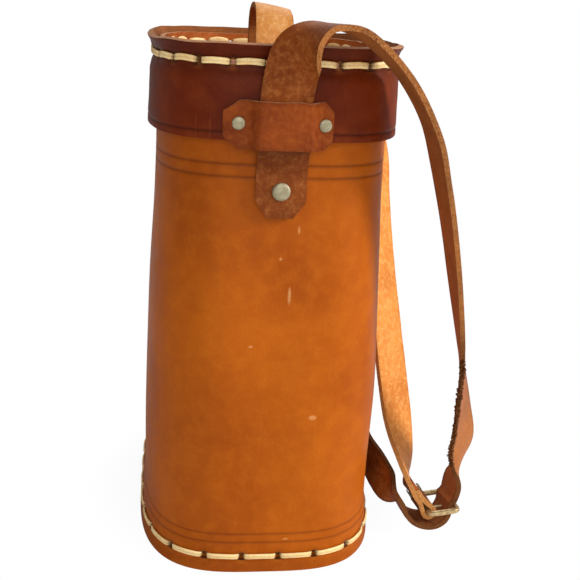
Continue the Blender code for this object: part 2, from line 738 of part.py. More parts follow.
def keeper_pairs():
    """Lower and upper edge points from the left end to the right end, seen from outside."""
    rise = STRAP_THICK + 3 * CLEARANCE
    half = STRAP_WIDTH / 2 + CLEARANCE
    stops = [(-KEEPER_LEFT, 0, 1), (-KEEPER_LEFT + KEEPER_CLIP_X, 0, 0), (-half - KEEPER_RAMP, 0, 0),
             (-half, 0.95, 0), (-half + 4 * MM, 1.05, 0), (half - 4 * MM, 1.05, 0), (half, 0.95, 0),
             (half + KEEPER_RAMP, 0, 0), (KEEPER_RIGHT - KEEPER_CLIP_X * 0.55, 0, 0), (KEEPER_RIGHT, 0, 1)]
    lower_ring = Outline(lid_section(LID_BOTTOM))
    upper_ring = Outline(lid_section(KEEPER_TOP))
    pairs = []
    for x, bow, clip in stops:
        low = KEEPER_BOTTOM + clip * KEEPER_CLIP_Z
        high = KEEPER_TOP - clip * KEEPER_CLIP_Z
        out = CLEARANCE + KEEPER_THICK / 2 + 0.15 * MM
        flat_low = lower_ring.front(x) + out
        flat_high = upper_ring.front(x) + out
        bowed = LID_HALF_LENGTH + LID_EDGE_FLARE + out + rise
        y_low = flat_low + (bowed - flat_low) * bow
        y_high = flat_high + (bowed - flat_high) * bow
        pairs.append((Vector((x, -y_low, low)), Vector((x, -y_high, high))))
    return pairs


front_keeper = ribbon("front_keeper", keeper_pairs(), KEEPER_THICK)
half_turn = Matrix.Rotation(math.pi, 4, "Z")
rear_keeper = ribbon("rear_keeper", [(half_turn @ a, half_turn @ b) for a, b in keeper_pairs()], KEEPER_THICK)
for keeper in (front_keeper, rear_keeper):
    cut(keeper, keeper_pins)
    finish(keeper, STRAP_BROWN, lid)

names = ("front_keeper_left_rivet", "front_keeper_right_rivet", "rear_keeper_left_rivet", "rear_keeper_right_rivet")
for name, (spot, side) in zip(names, keeper_spots):
    skirt = abs(spot.y)
    share = (KEEPER_RIVET_Z - KEEPER_BOTTOM) / (KEEPER_TOP - KEEPER_BOTTOM)
    x = spot.x * (1 if side is front else -1)
    low = Outline(lid_section(LID_BOTTOM)).front(x)
    high = Outline(lid_section(KEEPER_TOP)).front(x)
    face = low + (high - low) * share + CLEARANCE + KEEPER_THICK + 0.15 * MM
    stack = face - skirt + LID_WALL
    rivet(name, Vector((spot.x, side.y * (face + 0.2 * MM), spot.z)), side, SMALL_HEAD, SMALL_RISE, SMALL_SHANK,
          stack + 2 * CLEARANCE, THIN_CAP, lid)

# Handle: one strap bent up into a loop, with a riveted foot at each end

foot_z = lid_top_face + CLEARANCE + HANDLE_THICK / 2
crown_z = HANDLE_TOP - HANDLE_THICK / 2


def handle_side():
    """Half of the handle's course, from its foot's end to its middle."""
    course = [(HANDLE_LEG + HANDLE_THICK / 2 + HANDLE_FOOT_BEND + HANDLE_FOOT, foot_z),
              (HANDLE_LEG + HANDLE_FOOT_BEND + HANDLE_THICK / 2, foot_z)]
    bend = HANDLE_FOOT_BEND + HANDLE_THICK / 2
    for i in range(1, 4):
        a = math.pi / 2 * i / 3
        course.append((HANDLE_LEG + bend - bend * math.sin(a), foot_z + bend - bend * math.cos(a)))
    for i in range(5):
        a = math.pi / 2 * i / 4
        course.append((HANDLE_LEG - HANDLE_CORNER + HANDLE_CORNER * math.cos(a),
                       crown_z - HANDLE_CORNER + HANDLE_CORNER * math.sin(a)))
    return course


half_course = handle_side()
course = [(-y, z) for y, z in half_course] + [(y, z) for y, z in reversed(half_course)]
handle_strap = ribbon("handle_strap", [(Vector((-HANDLE_WIDTH / 2, y, z)), Vector((HANDLE_WIDTH / 2, y, z)))
                                       for y, z in course], HANDLE_THICK)
cut(handle_strap, handle_pins)
finish(handle_strap, STRAP_BROWN, lid)
for name, (spot, up) in zip(("handle_front_rivet", "handle_rear_rivet"), handle_spots):
    top = Vector((0, spot.y, foot_z + HANDLE_THICK / 2))
    rivet(name, top, up, SMALL_HEAD, SMALL_RISE, SMALL_SHANK, HANDLE_THICK + CLEARANCE + PLATE + CLEARANCE,
          CAP_THICK, lid)

# Rivets that hold the strap's ends to the case

for name, side in (("front_strap_rivet", front), ("rear_strap_rivet", rear)):
    face = tab_face + CLEARANCE + STRAP_THICK
    rivet(name, Vector((0, side.y * (face + 0.2 * MM), TAB_RIVET_Z)), side, BIG_HEAD, BIG_RISE, BIG_SHANK,
          STRAP_THICK + CLEARANCE + WALL + 3 * CLEARANCE, CAP_THICK, root)

# Shoulder strap: two lengths, joined by the buckle and hanging free beside the case

strap_pivot = joint_empty("shoulder_strap", (STRAP_PIVOT_X, 0, STRAP_PIVOT_Z))

inner_bar = BUCKLE_BAR + CLEARANCE + 0.9 * MM + HALF_STRAP
dive = math.radians(55)
TURN_BACK = [(13.8, 3), (9.8, 8.4), (3, 11), (-4.5, 10), (-11, 6), (-15, 0), (-16.3, -6.5)]
fold_size = math.hypot(FOLD_ALONG, FOLD_OUTWARD)
UP_ALONG, UP_OUT = FOLD_ALONG / fold_size, FOLD_OUTWARD / fold_size


def at_fold(run, off):
    """A point beside the folded end: so far along it from the heel bar, and so far out on its grain side."""
    return at_buckle(UP_ALONG * run + UP_OUT * off, UP_OUT * run - UP_ALONG * off)


def stations_in_mm(points, across):
    return [(point / MM, across) for point in points]


# The front length goes over the near bar, down through the frame and back in a wide turn under the folded end
front_length = smooth_course(FRONT_ROUTE, STRAP_STEP)
through = [(at_buckle(BUCKLE_LENGTH + 3 * MM, -16 * MM, 1.5 * MM), -ACROSS)]
for degrees in (-40, -20, 0):
    a = dive + math.radians(degrees)
    through.append((at_buckle(BUCKLE_LENGTH - inner_bar * math.sin(a), -inner_bar * math.cos(a)), -ACROSS))
through += [(at_buckle(along * MM, outward * MM), -ACROSS) for along, outward in TURN_BACK]
tail = smooth_course(stations_in_mm([through[-1][0]], -ACROSS) + TAIL_ROUTE, STRAP_STEP * 0.6)
front_stations = tab_stations() + front_length + through + tail[1:]
front_strap = ribbon("front_strap", chamfered(edges_of(front_stations, STRAP_WIDTH / 2), TAB_CHAMFER_X), STRAP_THICK)
buckle_turn = Matrix((ALONG, ACROSS, OUTWARD)).transposed()
prong_hole = block("prong_hole_cutter", at_buckle(BUCKLE_LENGTH * 0.55, PRONG_THICK * 1.9),
                   (BUCKLE_LENGTH * 0.8, 2 * PRONG_WIDTH, 8 * MM), buckle_turn)
cut(front_strap, tab_pins, prong_hole)
finish(front_strap, STRAP_BROWN, strap_pivot)

# The rear length comes down, wraps the heel bar and is folded back on its inner side
rear_length = smooth_course(REAR_ROUTE + stations_in_mm([at_fold(FOLD_STRAIGHT, LAYER / 2)], -ACROSS), STRAP_STEP)
rear_tab = [(half_turn @ spot, half_turn @ width) for spot, width in tab_stations()]
size = math.hypot(FOLD_START, LAYER / 2)
lead = math.asin(WRAP / size) - math.atan2(LAYER / 2, FOLD_START)
wrap = []
for i in range(9):
    a = lead - (math.pi + 2 * lead) * i / 8
    wrap.append((at_fold(WRAP * math.sin(a), WRAP * math.cos(a)), -ACROSS))
main = rear_tab + rear_length
returned = [(at_fold(FOLD_START, -LAYER / 2), -ACROSS), (at_fold(FOLD_STRAIGHT, -LAYER / 2), -ACROSS)]
for back in range(2, 2 + FOLD_STEPS):
    spot, width = main[-back]
    returned.append((spot + strap_normal(main, len(main) - back) * LAYER, width))
rear_stations = main + [(at_fold(FOLD_START, LAYER / 2), -ACROSS)] + wrap + returned
rear_strap = ribbon("rear_strap", chamfered(edges_of(rear_stations, STRAP_WIDTH / 2), TAB_CHAMFER_X), STRAP_THICK)
prong_slot = block("prong_slot_cutter", at_buckle(0, 0), (13 * MM, 2 * PRONG_SLOT, 13 * MM), buckle_turn)
fold_out = (OUTWARD * -UP_ALONG + ALONG * UP_OUT).normalized()
fold_pins = pins("fold_rivet_cutter", [(at_fold(FOLD_RIVET, 0), fold_out)], SMALL_SHANK + CLEARANCE, -6 * MM, 6 * MM,
                 RIVET_SIDES)
cut(rear_strap, tab_pins, prong_slot, fold_pins)
finish(rear_strap, STRAP_BROWN, strap_pivot)
rivet("fold_rivet", at_fold(FOLD_RIVET, LAYER / 2 + HALF_STRAP), fold_out, SMALL_HEAD, 0.9 * MM, SMALL_SHANK,
      STRAP_THICK * 2 + CLEARANCE * 2, CAP_THICK, strap_pivot)

# Buckle: a round-cornered ring of bar, and a prong wrapped round its heel bar

buckle = joint_empty("buckle", BUCKLE_HEEL)
ring = bpy.data.curves.new("buckle_frame", "CURVE")
ring.dimensions = "3D"
ring.bevel_depth = BUCKLE_BAR
ring.bevel_resolution = 2
spline = ring.splines.new("POLY")
corner = 3.5 * MM
ring_points = []
for cx, cy, turn in ((BUCKLE_LENGTH - corner, BUCKLE_HALF_WIDTH - corner, 0), (corner, BUCKLE_HALF_WIDTH - corner, 90),
                     (corner, -BUCKLE_HALF_WIDTH + corner, 180), (BUCKLE_LENGTH - corner, -BUCKLE_HALF_WIDTH + corner, 270)):
    for i in range(4):
        a = math.radians(turn + 30 * i)
        ring_points.append(at_buckle(cx + corner * math.cos(a), 0, cy + corner * math.sin(a)))
spline.points.add(len(ring_points) - 1)
for spot, point in zip(spline.points, ring_points):
    spot.co = (*point, 1)
spline.use_cyclic_u = True
buckle_frame = bpy.data.objects.new("buckle_frame", ring)
bpy.context.scene.collection.objects.link(buckle_frame)
finish(buckle_frame, BRASS, buckle)

prong_eye = BUCKLE_BAR + CLEARANCE + PRONG_THICK / 2
prong_stations = []
for i in range(9):
    a = math.radians(-285 + 285 * i / 8)
    prong_stations.append((at_buckle(prong_eye * math.sin(a), prong_eye * math.cos(a)), ACROSS))
prong_stations.append((at_buckle(BUCKLE_LENGTH + PRONG_OVERHANG, prong_eye), ACROSS))
buckle_prong = ribbon("buckle_prong", edges_of(prong_stations, PRONG_WIDTH / 2), PRONG_THICK)
finish(buckle_prong, BRASS, buckle)
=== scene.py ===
"""Laced leather case for a flask and gourd, with its lift-off lid, handle and hanging shoulder strap.

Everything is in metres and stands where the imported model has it: +Z is up, the narrow end with the front
strap faces -Y, and the laced side seam and the hanging strap are on +X. The pieces follow in the order in
which the bag is put together.
"""
import bisect
import math

import bmesh
import bpy
from mathutils import Matrix, Vector, noise
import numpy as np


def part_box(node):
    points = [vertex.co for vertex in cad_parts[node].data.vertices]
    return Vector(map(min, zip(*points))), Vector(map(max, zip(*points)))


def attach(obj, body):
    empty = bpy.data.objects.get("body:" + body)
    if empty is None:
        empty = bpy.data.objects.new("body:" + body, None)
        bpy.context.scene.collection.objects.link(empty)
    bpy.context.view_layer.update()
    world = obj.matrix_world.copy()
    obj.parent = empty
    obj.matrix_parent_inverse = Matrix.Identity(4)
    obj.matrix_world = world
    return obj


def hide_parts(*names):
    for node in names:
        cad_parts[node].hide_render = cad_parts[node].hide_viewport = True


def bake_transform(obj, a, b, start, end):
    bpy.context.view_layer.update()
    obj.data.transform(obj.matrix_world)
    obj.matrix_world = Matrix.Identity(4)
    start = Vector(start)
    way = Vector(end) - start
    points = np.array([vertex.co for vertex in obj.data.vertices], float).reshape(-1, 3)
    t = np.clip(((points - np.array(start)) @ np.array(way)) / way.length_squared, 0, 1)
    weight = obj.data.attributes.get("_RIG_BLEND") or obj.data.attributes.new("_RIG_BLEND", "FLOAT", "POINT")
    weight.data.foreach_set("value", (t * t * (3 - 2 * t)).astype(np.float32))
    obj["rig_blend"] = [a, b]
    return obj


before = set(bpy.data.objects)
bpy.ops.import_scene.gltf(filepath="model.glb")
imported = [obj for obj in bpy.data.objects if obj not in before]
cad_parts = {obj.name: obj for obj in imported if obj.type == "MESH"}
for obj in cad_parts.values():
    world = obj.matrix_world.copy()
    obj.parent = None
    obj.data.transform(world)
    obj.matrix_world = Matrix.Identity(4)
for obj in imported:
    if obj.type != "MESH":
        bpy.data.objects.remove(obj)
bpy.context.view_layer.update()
MM = 0.001


# ---- Camera ------------------------------------------------------------------------------------------------
# The photograph is taken from a little above the lid, close to the narrow end, with the camera turned
# slightly to its left side and tilted, and the bag left of the middle of the frame.

FRAME_PIXELS = 580
FOCAL_PIXELS = 848.1
SENSOR = 36.0
CAMERA_TURN = math.radians(-6.363)
CAMERA_RISE = math.radians(18.591)
CAMERA_ROLL = math.radians(2.70)
CAMERA_AIM = Vector((0, 0, 158)) * MM
CAMERA_DISTANCE = 578.7 * MM
SHIFT_X, SHIFT_Y = 0.0549, -0.0233

back = Vector((math.sin(CAMERA_TURN) * math.cos(CAMERA_RISE), -math.cos(CAMERA_TURN) * math.cos(CAMERA_RISE),
               math.sin(CAMERA_RISE)))
level = (-back).cross(Vector((0, 0, 1))).normalized()
upward = level.cross(-back)
right = level * math.cos(CAMERA_ROLL) + upward * math.sin(CAMERA_ROLL)
top = upward * math.cos(CAMERA_ROLL) - level * math.sin(CAMERA_ROLL)
camera = bpy.data.objects.new("camera", bpy.data.cameras.new("camera"))
camera.matrix_world = Matrix.Translation(CAMERA_AIM + back * CAMERA_DISTANCE) @ Matrix(
    (right, top, back)).transposed().to_4x4()
camera.data.sensor_width = SENSOR
camera.data.lens = FOCAL_PIXELS / FRAME_PIXELS * SENSOR
camera.data.shift_x = SHIFT_X
camera.data.shift_y = SHIFT_Y
camera.data.clip_start = 0.01
bpy.context.scene.collection.objects.link(camera)
bpy.context.scene.camera = camera


# ---- Case wall ---------------------------------------------------------------------------------------------
# One piece of 3 mm vegetable-tanned leather, dyed tan, is wrapped to a rounded oblong and laced edge to
# edge down the middle of the +X side. It narrows towards its mouth, flares at its foot, and carries two
# creased lines below the lid and two above the base lacing.

# half the width and half the length of the body, and how much less each is at the neck, in millimetres
BODY_HALVES, NECK_IN = (75, 103), (5.6, 13.6)
WALL = 3.0 * MM
WALL_TOP = 297.5 * MM
ROUNDING = 3.45
PLAN_STEPS = 600
BASE_LACE_Z = 10 * MM
BASE_HOLES = 27
SEAM_SHARE = 0.25
SEAM_GAP = 0.5 * MM
CREASES = (252.5 * MM, 245.5 * MM, 25 * MM, 19.5 * MM)
HOLE = 2.7 * MM
INNER_HOLE = 1.4 * MM
SEAM_HOLE = 1.5 * MM


def quarter_turns():
    """How far along a quarter of the plan each of its angles lies."""
    angles, runs, last, run = [], [], None, 0.0
    for i in range(PLAN_STEPS + 1):
        u = i / PLAN_STEPS
        t = math.pi / 2 * u * u * (3 - 2 * u)
        spot = Vector((BODY_HALVES[0] * math.sin(t) ** (2 / ROUNDING),
                       -BODY_HALVES[1] * math.cos(t) ** (2 / ROUNDING)))
        if last is not None:
            run += (spot - last).length
        last = spot
        angles.append(t)
        runs.append(run)
    return angles, [r / run for r in runs], run * 4 * MM


PLAN_ANGLES, PLAN_RUNS, PLAN_LENGTH = quarter_turns()


def plan(share, half_width, half_length):
    """A point of the rounded-oblong plan and its outward direction, from the front's middle towards +X."""
    share %= 1.0
    quarter = int(share * 4) % 4
    part = share * 4 - quarter
    if quarter % 2:
        part = 1 - part
    i = min(max(bisect.bisect(PLAN_RUNS, part), 1), len(PLAN_RUNS) - 1)
    low, high = PLAN_RUNS[i - 1], PLAN_RUNS[i]
    angle = PLAN_ANGLES[i - 1] + (PLAN_ANGLES[i] - PLAN_ANGLES[i - 1]) * (part - low) / max(high - low, 1e-12)
    x = math.sin(angle) ** (2 / ROUNDING)
    y = math.cos(angle) ** (2 / ROUNDING)
    side = 1 if quarter < 2 else -1
    end = -1 if quarter in (0, 3) else 1
    out = Vector((side * x ** (ROUNDING - 1) / half_width, end * y ** (ROUNDING - 1) / half_length, 0))
    return Vector((side * x * half_width, end * y * half_length, 0)), out.normalized()


def ease(low, high, value):
    """0 below low, 1 above high, and a smooth rise between them."""
    part = min(max((value - low) / (high - low), 0.0), 1.0)
    return part * part * (3 - 2 * part)


def bump_at(value, middle, width):
    """1 at the middle, falling smoothly to 0 on both sides."""
    return math.exp(-((value - middle) / width) ** 2)


def wander(x, y, z):
    """Smooth unevenness, between about -1 and 1."""
    return noise.noise(Vector((x, y, z)))


def mm(*values):
    """Lengths from millimetres."""
    return [value * MM for value in values]


def about(level, *steps):
    """Levels at some millimetres from one."""
    return [level + step * MM for step in steps]


def foot_out(z):
    """How far the foot stands out of the wall: pinched in at the lacing, flared below it."""
    pinch, flare = 1.8 * MM, 3.7 * MM
    if z > 12.2 * MM:
        return pinch * (1 - ease(12.2 * MM, 32 * MM, z))
    return pinch + (flare - pinch) * (1 - ease(0, 7.8 * MM, z))


def wall_skin(share, z, off=0.0):
    """A point on the wall's grain side, moved outwards by an amount."""
    taper = ease(95 * MM, 265 * MM, z)
    spot, out = plan(share, *((half - less * taper) * MM for half, less in zip(BODY_HALVES, NECK_IN)))
    spot.z = z
    crease = sum(bump_at(z, line, 0.7 * MM) for line in CREASES)
    slack = noise.noise(spot * 14) * 0.7 * MM * ease(30 * MM, 60 * MM, z) * (1 - ease(225 * MM, 250 * MM, z))
    return spot + out * (foot_out(z) - crease * 0.35 * MM + slack + off)


def hole_shares(count, first, length):
    """The places of a row of lacing holes, as shares of the way round."""
    return [(first / length + i / count) % 1.0 for i in range(count)]


def gap_round(a, b):
    """The short way round from one share to another, with its sign."""
    return (a - b + 0.5) % 1.0 - 0.5


def columns_round(holes, length, start, end, extra=()):
    """Shares for a grid's columns, close together at each hole and wider between them."""
    near = (0, 0.75, 1.5, 2.3, 3.3)
    pitch = length / len(holes)
    wide = [3.3 * MM + (pitch / 2 - 3.3 * MM) * k / 3 for k in (1, 2, 3)]
    steps = [n * MM for n in near] + wide
    found = [start, end]
    for hole in holes:
        for step in steps:
            for side in (-1, 1):
                found.append(start + ((hole + side * step / length) - start) % 1.0)
    for share in extra:
        found.append(start + (share - start) % 1.0)
    found = sorted(s for s in found if start <= s <= end)
    kept = [found[0]]
    for share in found[1:]:
        if share - kept[-1] > 0.35 * MM / length:
            kept.append(share)
    kept[-1] = end
    return kept


def skin_grid(shares, levels, skin):
    """A grid of faces laid on a skin, with each corner's place on it."""
    bm = bmesh.new()
    across, up = len(shares) - 1, len(levels) - 1
    bmesh.ops.create_grid(bm, x_segments=across, y_segments=up, size=1.0)
    place = {}
    for vert in bm.verts:
        i = round((vert.co.x + 1) / 2 * across)
        j = round((vert.co.y + 1) / 2 * up)
        place[vert] = (shares[i], levels[j])
        vert.co = skin(shares[i], levels[j])
    return bm, place


def closed_grid(shares, levels, skin):
    """The same, with its two ends joined into a ring."""
    bm, place = skin_grid(shares, levels, skin)
    bmesh.ops.remove_doubles(bm, verts=bm.verts, dist=1e-6)
    return bm, {vert: spot for vert, spot in place.items() if vert.is_valid}


def punch(bm, place, skin, length, holes, radius):
    """Cut round holes: drop the corners inside each, and draw the rim out to a true circle."""
    doomed, rims = set(), {}
    for vert, (share, z) in place.items():
        for hole_share, hole_z in holes:
            run, rise = gap_round(share, hole_share) * length, z - hole_z
            if abs(run) < radius * 2 and abs(rise) < radius * 2 and math.hypot(run, rise) < radius * 0.86:
                doomed.add(vert)
                for edge in vert.link_edges:
                    rims[edge.other_vert(vert)] = (hole_share, hole_z)
    for vert, (hole_share, hole_z) in rims.items():
        if vert in doomed:
            continue
        share, z = place[vert]
        angle = math.atan2(z - hole_z, gap_round(share, hole_share) * length)
        place[vert] = (hole_share + math.cos(angle) * radius / length, hole_z + math.sin(angle) * radius)
        vert.co = skin(*place[vert])
    for vert in doomed:
        place.pop(vert)
    bmesh.ops.delete(bm, geom=list(doomed), context="VERTS")


def between(low, high, step):
    """Even levels from one height to another, without the last."""
    count = max(1, round((high - low) / step))
    return [low + (high - low) * i / count for i in range(count)]


def node(tree, kind, options=None, **feeds):
    """One shader node with its options set and its inputs given a value or fed by a socket."""
    made = tree.nodes.new("ShaderNode" + kind)
    for key, value in (options or {}).items():
        setattr(made, key, value)
    for key, value in feeds.items():
        socket = made.inputs[int(key[2:])] if key.startswith("at") else made.inputs[key.replace("_", " ")]
        if isinstance(value, bpy.types.NodeSocket):
            tree.links.new(value, socket)
        else:
            socket.default_value = value
    return made


def mixed(tree, share, a, b):
    """Two colours mixed by a share."""
    return node(tree, "Mix", {"data_type": "RGBA"}, at0=share, at6=a, at7=b).outputs[2]


def tinted(tree, colour, layer, tint):
    """A colour turned towards a tint by a number painted on the mesh."""
    return mixed(tree, node(tree, "Attribute", {"attribute_name": layer}).outputs["Fac"], colour, tint)


def ranged(tree, value, low, high, to_low=0.0, to_high=1.0):
    """A value moved from one range into another."""
    made = node(tree, "MapRange", {"clamp": True}, at0=value, at1=low, at2=high, at3=to_low, at4=to_high)
    return made.outputs[0]


def times(tree, a, b):
    """The product of two values."""
    return node(tree, "Math", {"operation": "MULTIPLY"}, at0=a, at1=b).outputs[0]


def cloud(tree, spot, scale, detail=4.0, rough=0.55, warp=0.0):
    """Cloudy noise."""
    made = node(tree, "TexNoise", Vector=spot, Scale=scale, Detail=detail, Roughness=rough, Distortion=warp)
    return made.outputs[0]


def new_material(name):
    """A material, with its node tree, its shader and the coordinates that its patterns use."""
    mat = bpy.data.materials.new(name)
    mat.use_nodes = True
    tree = mat.node_tree
    return mat, tree, tree.nodes["Principled BSDF"], node(tree, "TexCoord").outputs["Object"]


def leather(name, base, deep, pale, grain=1100.0, relief=0.25, blotch=16.0, gloss=(0.42, 0.58), fleck=0.0,
            streak=0.25, mottle=0.3, marks=()):
    """Dyed leather: cloudy colour, mottling, pores, small scratches, and painted shade from its dark layer.
    """
    mat, tree, shader, spot = new_material(name)
    large = cloud(tree, spot, blotch, 4.0, 0.6, 0.3)
    small = cloud(tree, spot, blotch * 9, 6.0, 0.62)
    fine = cloud(tree, spot, grain * 0.55, 3.0, 0.6)
    cells = node(tree, "TexVoronoi", Vector=spot, Scale=grain, Randomness=1.0).outputs["Distance"]
    colour = mixed(tree, ranged(tree, large, 0.36, 0.66), (*deep, 1), (*base, 1))
    colour = mixed(tree, ranged(tree, small, 0.45, 0.75, 0.0, mottle * 1.2), colour, (*pale, 1))
    colour = mixed(tree, ranged(tree, small, 0.2, 0.45, mottle, 0.0), colour, (*deep, 1))
    colour = mixed(tree, ranged(tree, fine, 0.45, 0.8, 0.0, 0.35), colour, (*deep, 1))
    stretched = node(tree, "Mapping", Vector=spot, Rotation=(0.3, 0.5, 0.2), Scale=(500, 500, 16)).outputs[0]
    scratch = ranged(tree, cloud(tree, stretched, 1.0, 2.0, 0.5), 0.68, 0.78, 0.0, streak)
    colour = mixed(tree, scratch, colour, (*pale, 1))
    if fleck:
        cracks = node(tree, "TexVoronoi", {"feature": "DISTANCE_TO_EDGE"}, Vector=spot, Scale=grain * 0.32,
                      Randomness=1.0).outputs["Distance"]
        worn = ranged(tree, small, 0.42, 0.62, 0.0, fleck)
        worn = times(tree, ranged(tree, cracks, 0.02, 0.12, 1.0, 0.0), worn)
        colour = mixed(tree, worn, colour, (*pale, 1))
    for x, z, wide, tall in marks:
        size = Vector((wide, 40, tall)) * MM
        near = node(tree, "Mapping", Vector=spot, Scale=tuple(1 / s for s in size),
                    Location=(-x * MM / size.x, 100 * MM / size.y, -z * MM / size.z)).outputs[0]
        near = node(tree, "VectorMath", {"operation": "LENGTH"}, at0=near).outputs["Value"]
        nick = times(tree, ranged(tree, near, 0.6, 1.2, 0.6, 0.0), fine)
        colour = mixed(tree, nick, colour, (0.9, 0.5, 0.2, 1))
    # The dark layer paints shade into the colour; the light layer paints pale lips below the holes and
    # painted light low on the front strap.
    colour = tinted(tree, colour, "dark", (deep[0] * 0.22, deep[1] * 0.18, deep[2] * 0.2, 1))
    colour = tinted(tree, colour, "light", (*pale, 1))
    tree.links.new(colour, shader.inputs["Base Color"])
    tree.links.new(ranged(tree, small, 0.3, 0.7, *gloss), shader.inputs["Roughness"])
    shader.inputs["Specular IOR Level"].default_value = 0.09
    height = mixed(tree, 0.45, fine, cells)
    bump = node(tree, "Bump", Strength=relief, Distance=0.0006, Height=height).outputs[0]
    bump = node(tree, "Bump", Strength=0.22, Distance=0.0012, Height=small, Normal=bump).outputs[0]
    tree.links.new(bump, shader.inputs["Normal"])
    return mat


def rough_leather(name, base, deep, pale, fibre=900.0, relief=0.5):
    """The flesh side or a cut edge: matt, fibrous and uneven."""
    mat, tree, shader, spot = new_material(name)
    large = cloud(tree, spot, 45.0, 4.0, 0.6)
    fine = cloud(tree, spot, fibre, 5.0, 0.7, 0.6)
    colour = mixed(tree, ranged(tree, large, 0.35, 0.65), (*deep, 1), (*base, 1))
    colour = mixed(tree, ranged(tree, fine, 0.4, 0.72, 0.0, 0.7), colour, (*pale, 1))
    # The dark layer paints shade into the colour, as on the front strap's cut edges low down.
    colour = tinted(tree, colour, "dark", (deep[0] * 0.3, deep[1] * 0.25, deep[2] * 0.25, 1))
    tree.links.new(colour, shader.inputs["Base Color"])
    shader.inputs["Roughness"].default_value = 0.85
    shader.inputs["Specular IOR Level"].default_value = 0.1
    bump = node(tree, "Bump", Strength=relief, Distance=0.0008, Height=fine).outputs[0]
    tree.links.new(bump, shader.inputs["Normal"])
    return mat


# pale nicks and scratches on the front: their x and z, and half their width and height, in millimetres
WALL_MARKS = ((7.6, 179.1, 1.0, 5.2), (-13.7, 149.1, 1.3, 0.8), (24.9, 104.7, 2.4, 1.6),
              (1.8, 200.3, 0.9, 0.9), (13.0, 21.7, 2.0, 0.6), (11.5, 216.8, 0.7, 2.2))
TAN_GRAIN = leather("tan_grain", (0.44, 0.098, 0.003), (0.32, 0.062, 0.0015), (0.56, 0.15, 0.008), grain=1300,
                    relief=0.14, blotch=13, marks=WALL_MARKS)
TAN_FLESH = rough_leather("tan_flesh", (0.42, 0.20, 0.085), (0.30, 0.13, 0.05), (0.60, 0.35, 0.18))
TAN_EDGE = rough_leather("tan_edge", (0.50, 0.19, 0.06), (0.36, 0.10, 0.025), (0.66, 0.33, 0.15))


def painted(obj, name, values):
    """Store one number a corner for the material to read."""
    layer = obj.data.attributes.new(name, "FLOAT", "POINT")
    layer.data.foreach_set("value", values)


def meshed(name, bm, *mats):
    """An object from a finished mesh and its materials."""
    mesh = bpy.data.meshes.new(name)
    bm.to_mesh(mesh)
    bm.free()
    obj = bpy.data.objects.new(name, mesh)
    bpy.context.scene.collection.objects.link(obj)
    for mat in mats:
        mesh.materials.append(mat)
    return obj


def hide_piece(name, bm, place, thickness, mats, shade=None, glow=None, offset=-1.0):
    """A sheet of leather from its drawn grain side: grain, flesh and cut edge each with its own finish."""
    bm.verts.index_update()
    places = [place[vert] for vert in sorted(place, key=lambda vert: vert.index)]
    obj = meshed(name, bm, *mats)
    if shade:
        painted(obj, "dark", [shade(*p) for p in places])
    if glow:
        painted(obj, "light", [glow(*p) for p in places])
    solid = obj.modifiers.new("leather", "SOLIDIFY")
    solid.thickness = thickness
    solid.offset = offset
    solid.use_even_offset = False
    solid.material_offset = 1
    solid.material_offset_rim = 2
    return settled(obj)


def settled(obj, sharp=38):
    """Put the modifiers into the mesh, and smooth its round faces."""
    bpy.context.view_layer.update()
    shape = obj.evaluated_get(bpy.context.evaluated_depsgraph_get())
    mesh = bpy.data.meshes.new_from_object(shape, preserve_all_data_layers=True,
                                           depsgraph=bpy.context.evaluated_depsgraph_get())
    obj.modifiers.clear()
    obj.data = mesh
    obj.data.shade_smooth()
    obj.data.set_sharp_from_angle(angle=math.radians(sharp))
    return obj


def placed(obj, body, slot, *replaced):
    """Hang a piece on its body and let it stand for its solids."""
    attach(obj, body)
    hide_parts(*replaced)
    return obj


BASE_SHARES = hole_shares(BASE_HOLES, 8.8 * MM, PLAN_LENGTH)
SEAM_BOTTOM, SEAM_PITCH, SEAM_RUNGS, SEAM_SIDE = 34 * MM, 29 * MM, 8, 5 * MM
seam_ends = (SEAM_SHARE + SEAM_GAP / 2 / PLAN_LENGTH, SEAM_SHARE + 1 - SEAM_GAP / 2 / PLAN_LENGTH)
seam_columns = [SEAM_SHARE + s * d * MM / PLAN_LENGTH for s in (-1, 1)
                for d in (3.0, 3.9, 4.5, 5.0, 5.5, 6.1, 7.0)]
wall_shares = columns_round(BASE_SHARES, PLAN_LENGTH, *seam_ends, extra=seam_columns)
rung_levels = [SEAM_BOTTOM + SEAM_PITCH * i for i in range(SEAM_RUNGS)]
wall_levels = mm(0, 1.5, 3, 4.6, 6, 7.2, 8.2, 9.1, 10, 10.9, 11.8, 12.8, 14, 16)
wall_levels += between(30 * MM, WALL_TOP, 7 * MM) + [WALL_TOP]
for line in CREASES:
    wall_levels = [z for z in wall_levels if abs(z - line) > 2.6 * MM]
    wall_levels += about(line, -2.2, -1.1, -0.5, 0, 0.5, 1.1, 2.2)
for rung in rung_levels:
    wall_levels = [z for z in wall_levels
                   if abs(z - rung) > 2.4 * MM or any(abs(z - line) < 2.3 * MM for line in CREASES)]
    wall_levels += about(rung, -2.4, -1.4, -0.7, 0, 0.7, 1.4, 2.4)
wall_levels = sorted(set(round(z, 6) for z in wall_levels))


def wall_shade(share, z):
    """Painted shade in the creases and round the lacing holes; darker near the foot and towards the mouth."""
    near = min(math.hypot(gap_round(share, h) * PLAN_LENGTH, z - BASE_LACE_Z) for h in BASE_SHARES)
    dark = 0.42 * sum(bump_at(z, line, 0.75 * MM) for line in CREASES[2:])
    dark += 0.42 * sum(bump_at(z, line, 0.9 * MM) for line in CREASES[:2])
    dark += 0.55 * math.exp(-max(near - HOLE, 0) / (1.1 * MM))
    dark += 0.20 * bump_at(z, 3 * MM, 4 * MM) + 0.2 * ease(190 * MM, 262 * MM, z)
    return min(dark, 0.9)


def lip(share, z, holes, length, level):
    """The pale pulled edge below each hole."""
    run = min(abs(gap_round(share, h)) for h in holes) * length
    return 0.75 * bump_at(z, level - HOLE - 0.5 * MM, 0.8 * MM) * bump_at(run, 0, 2.2 * MM)


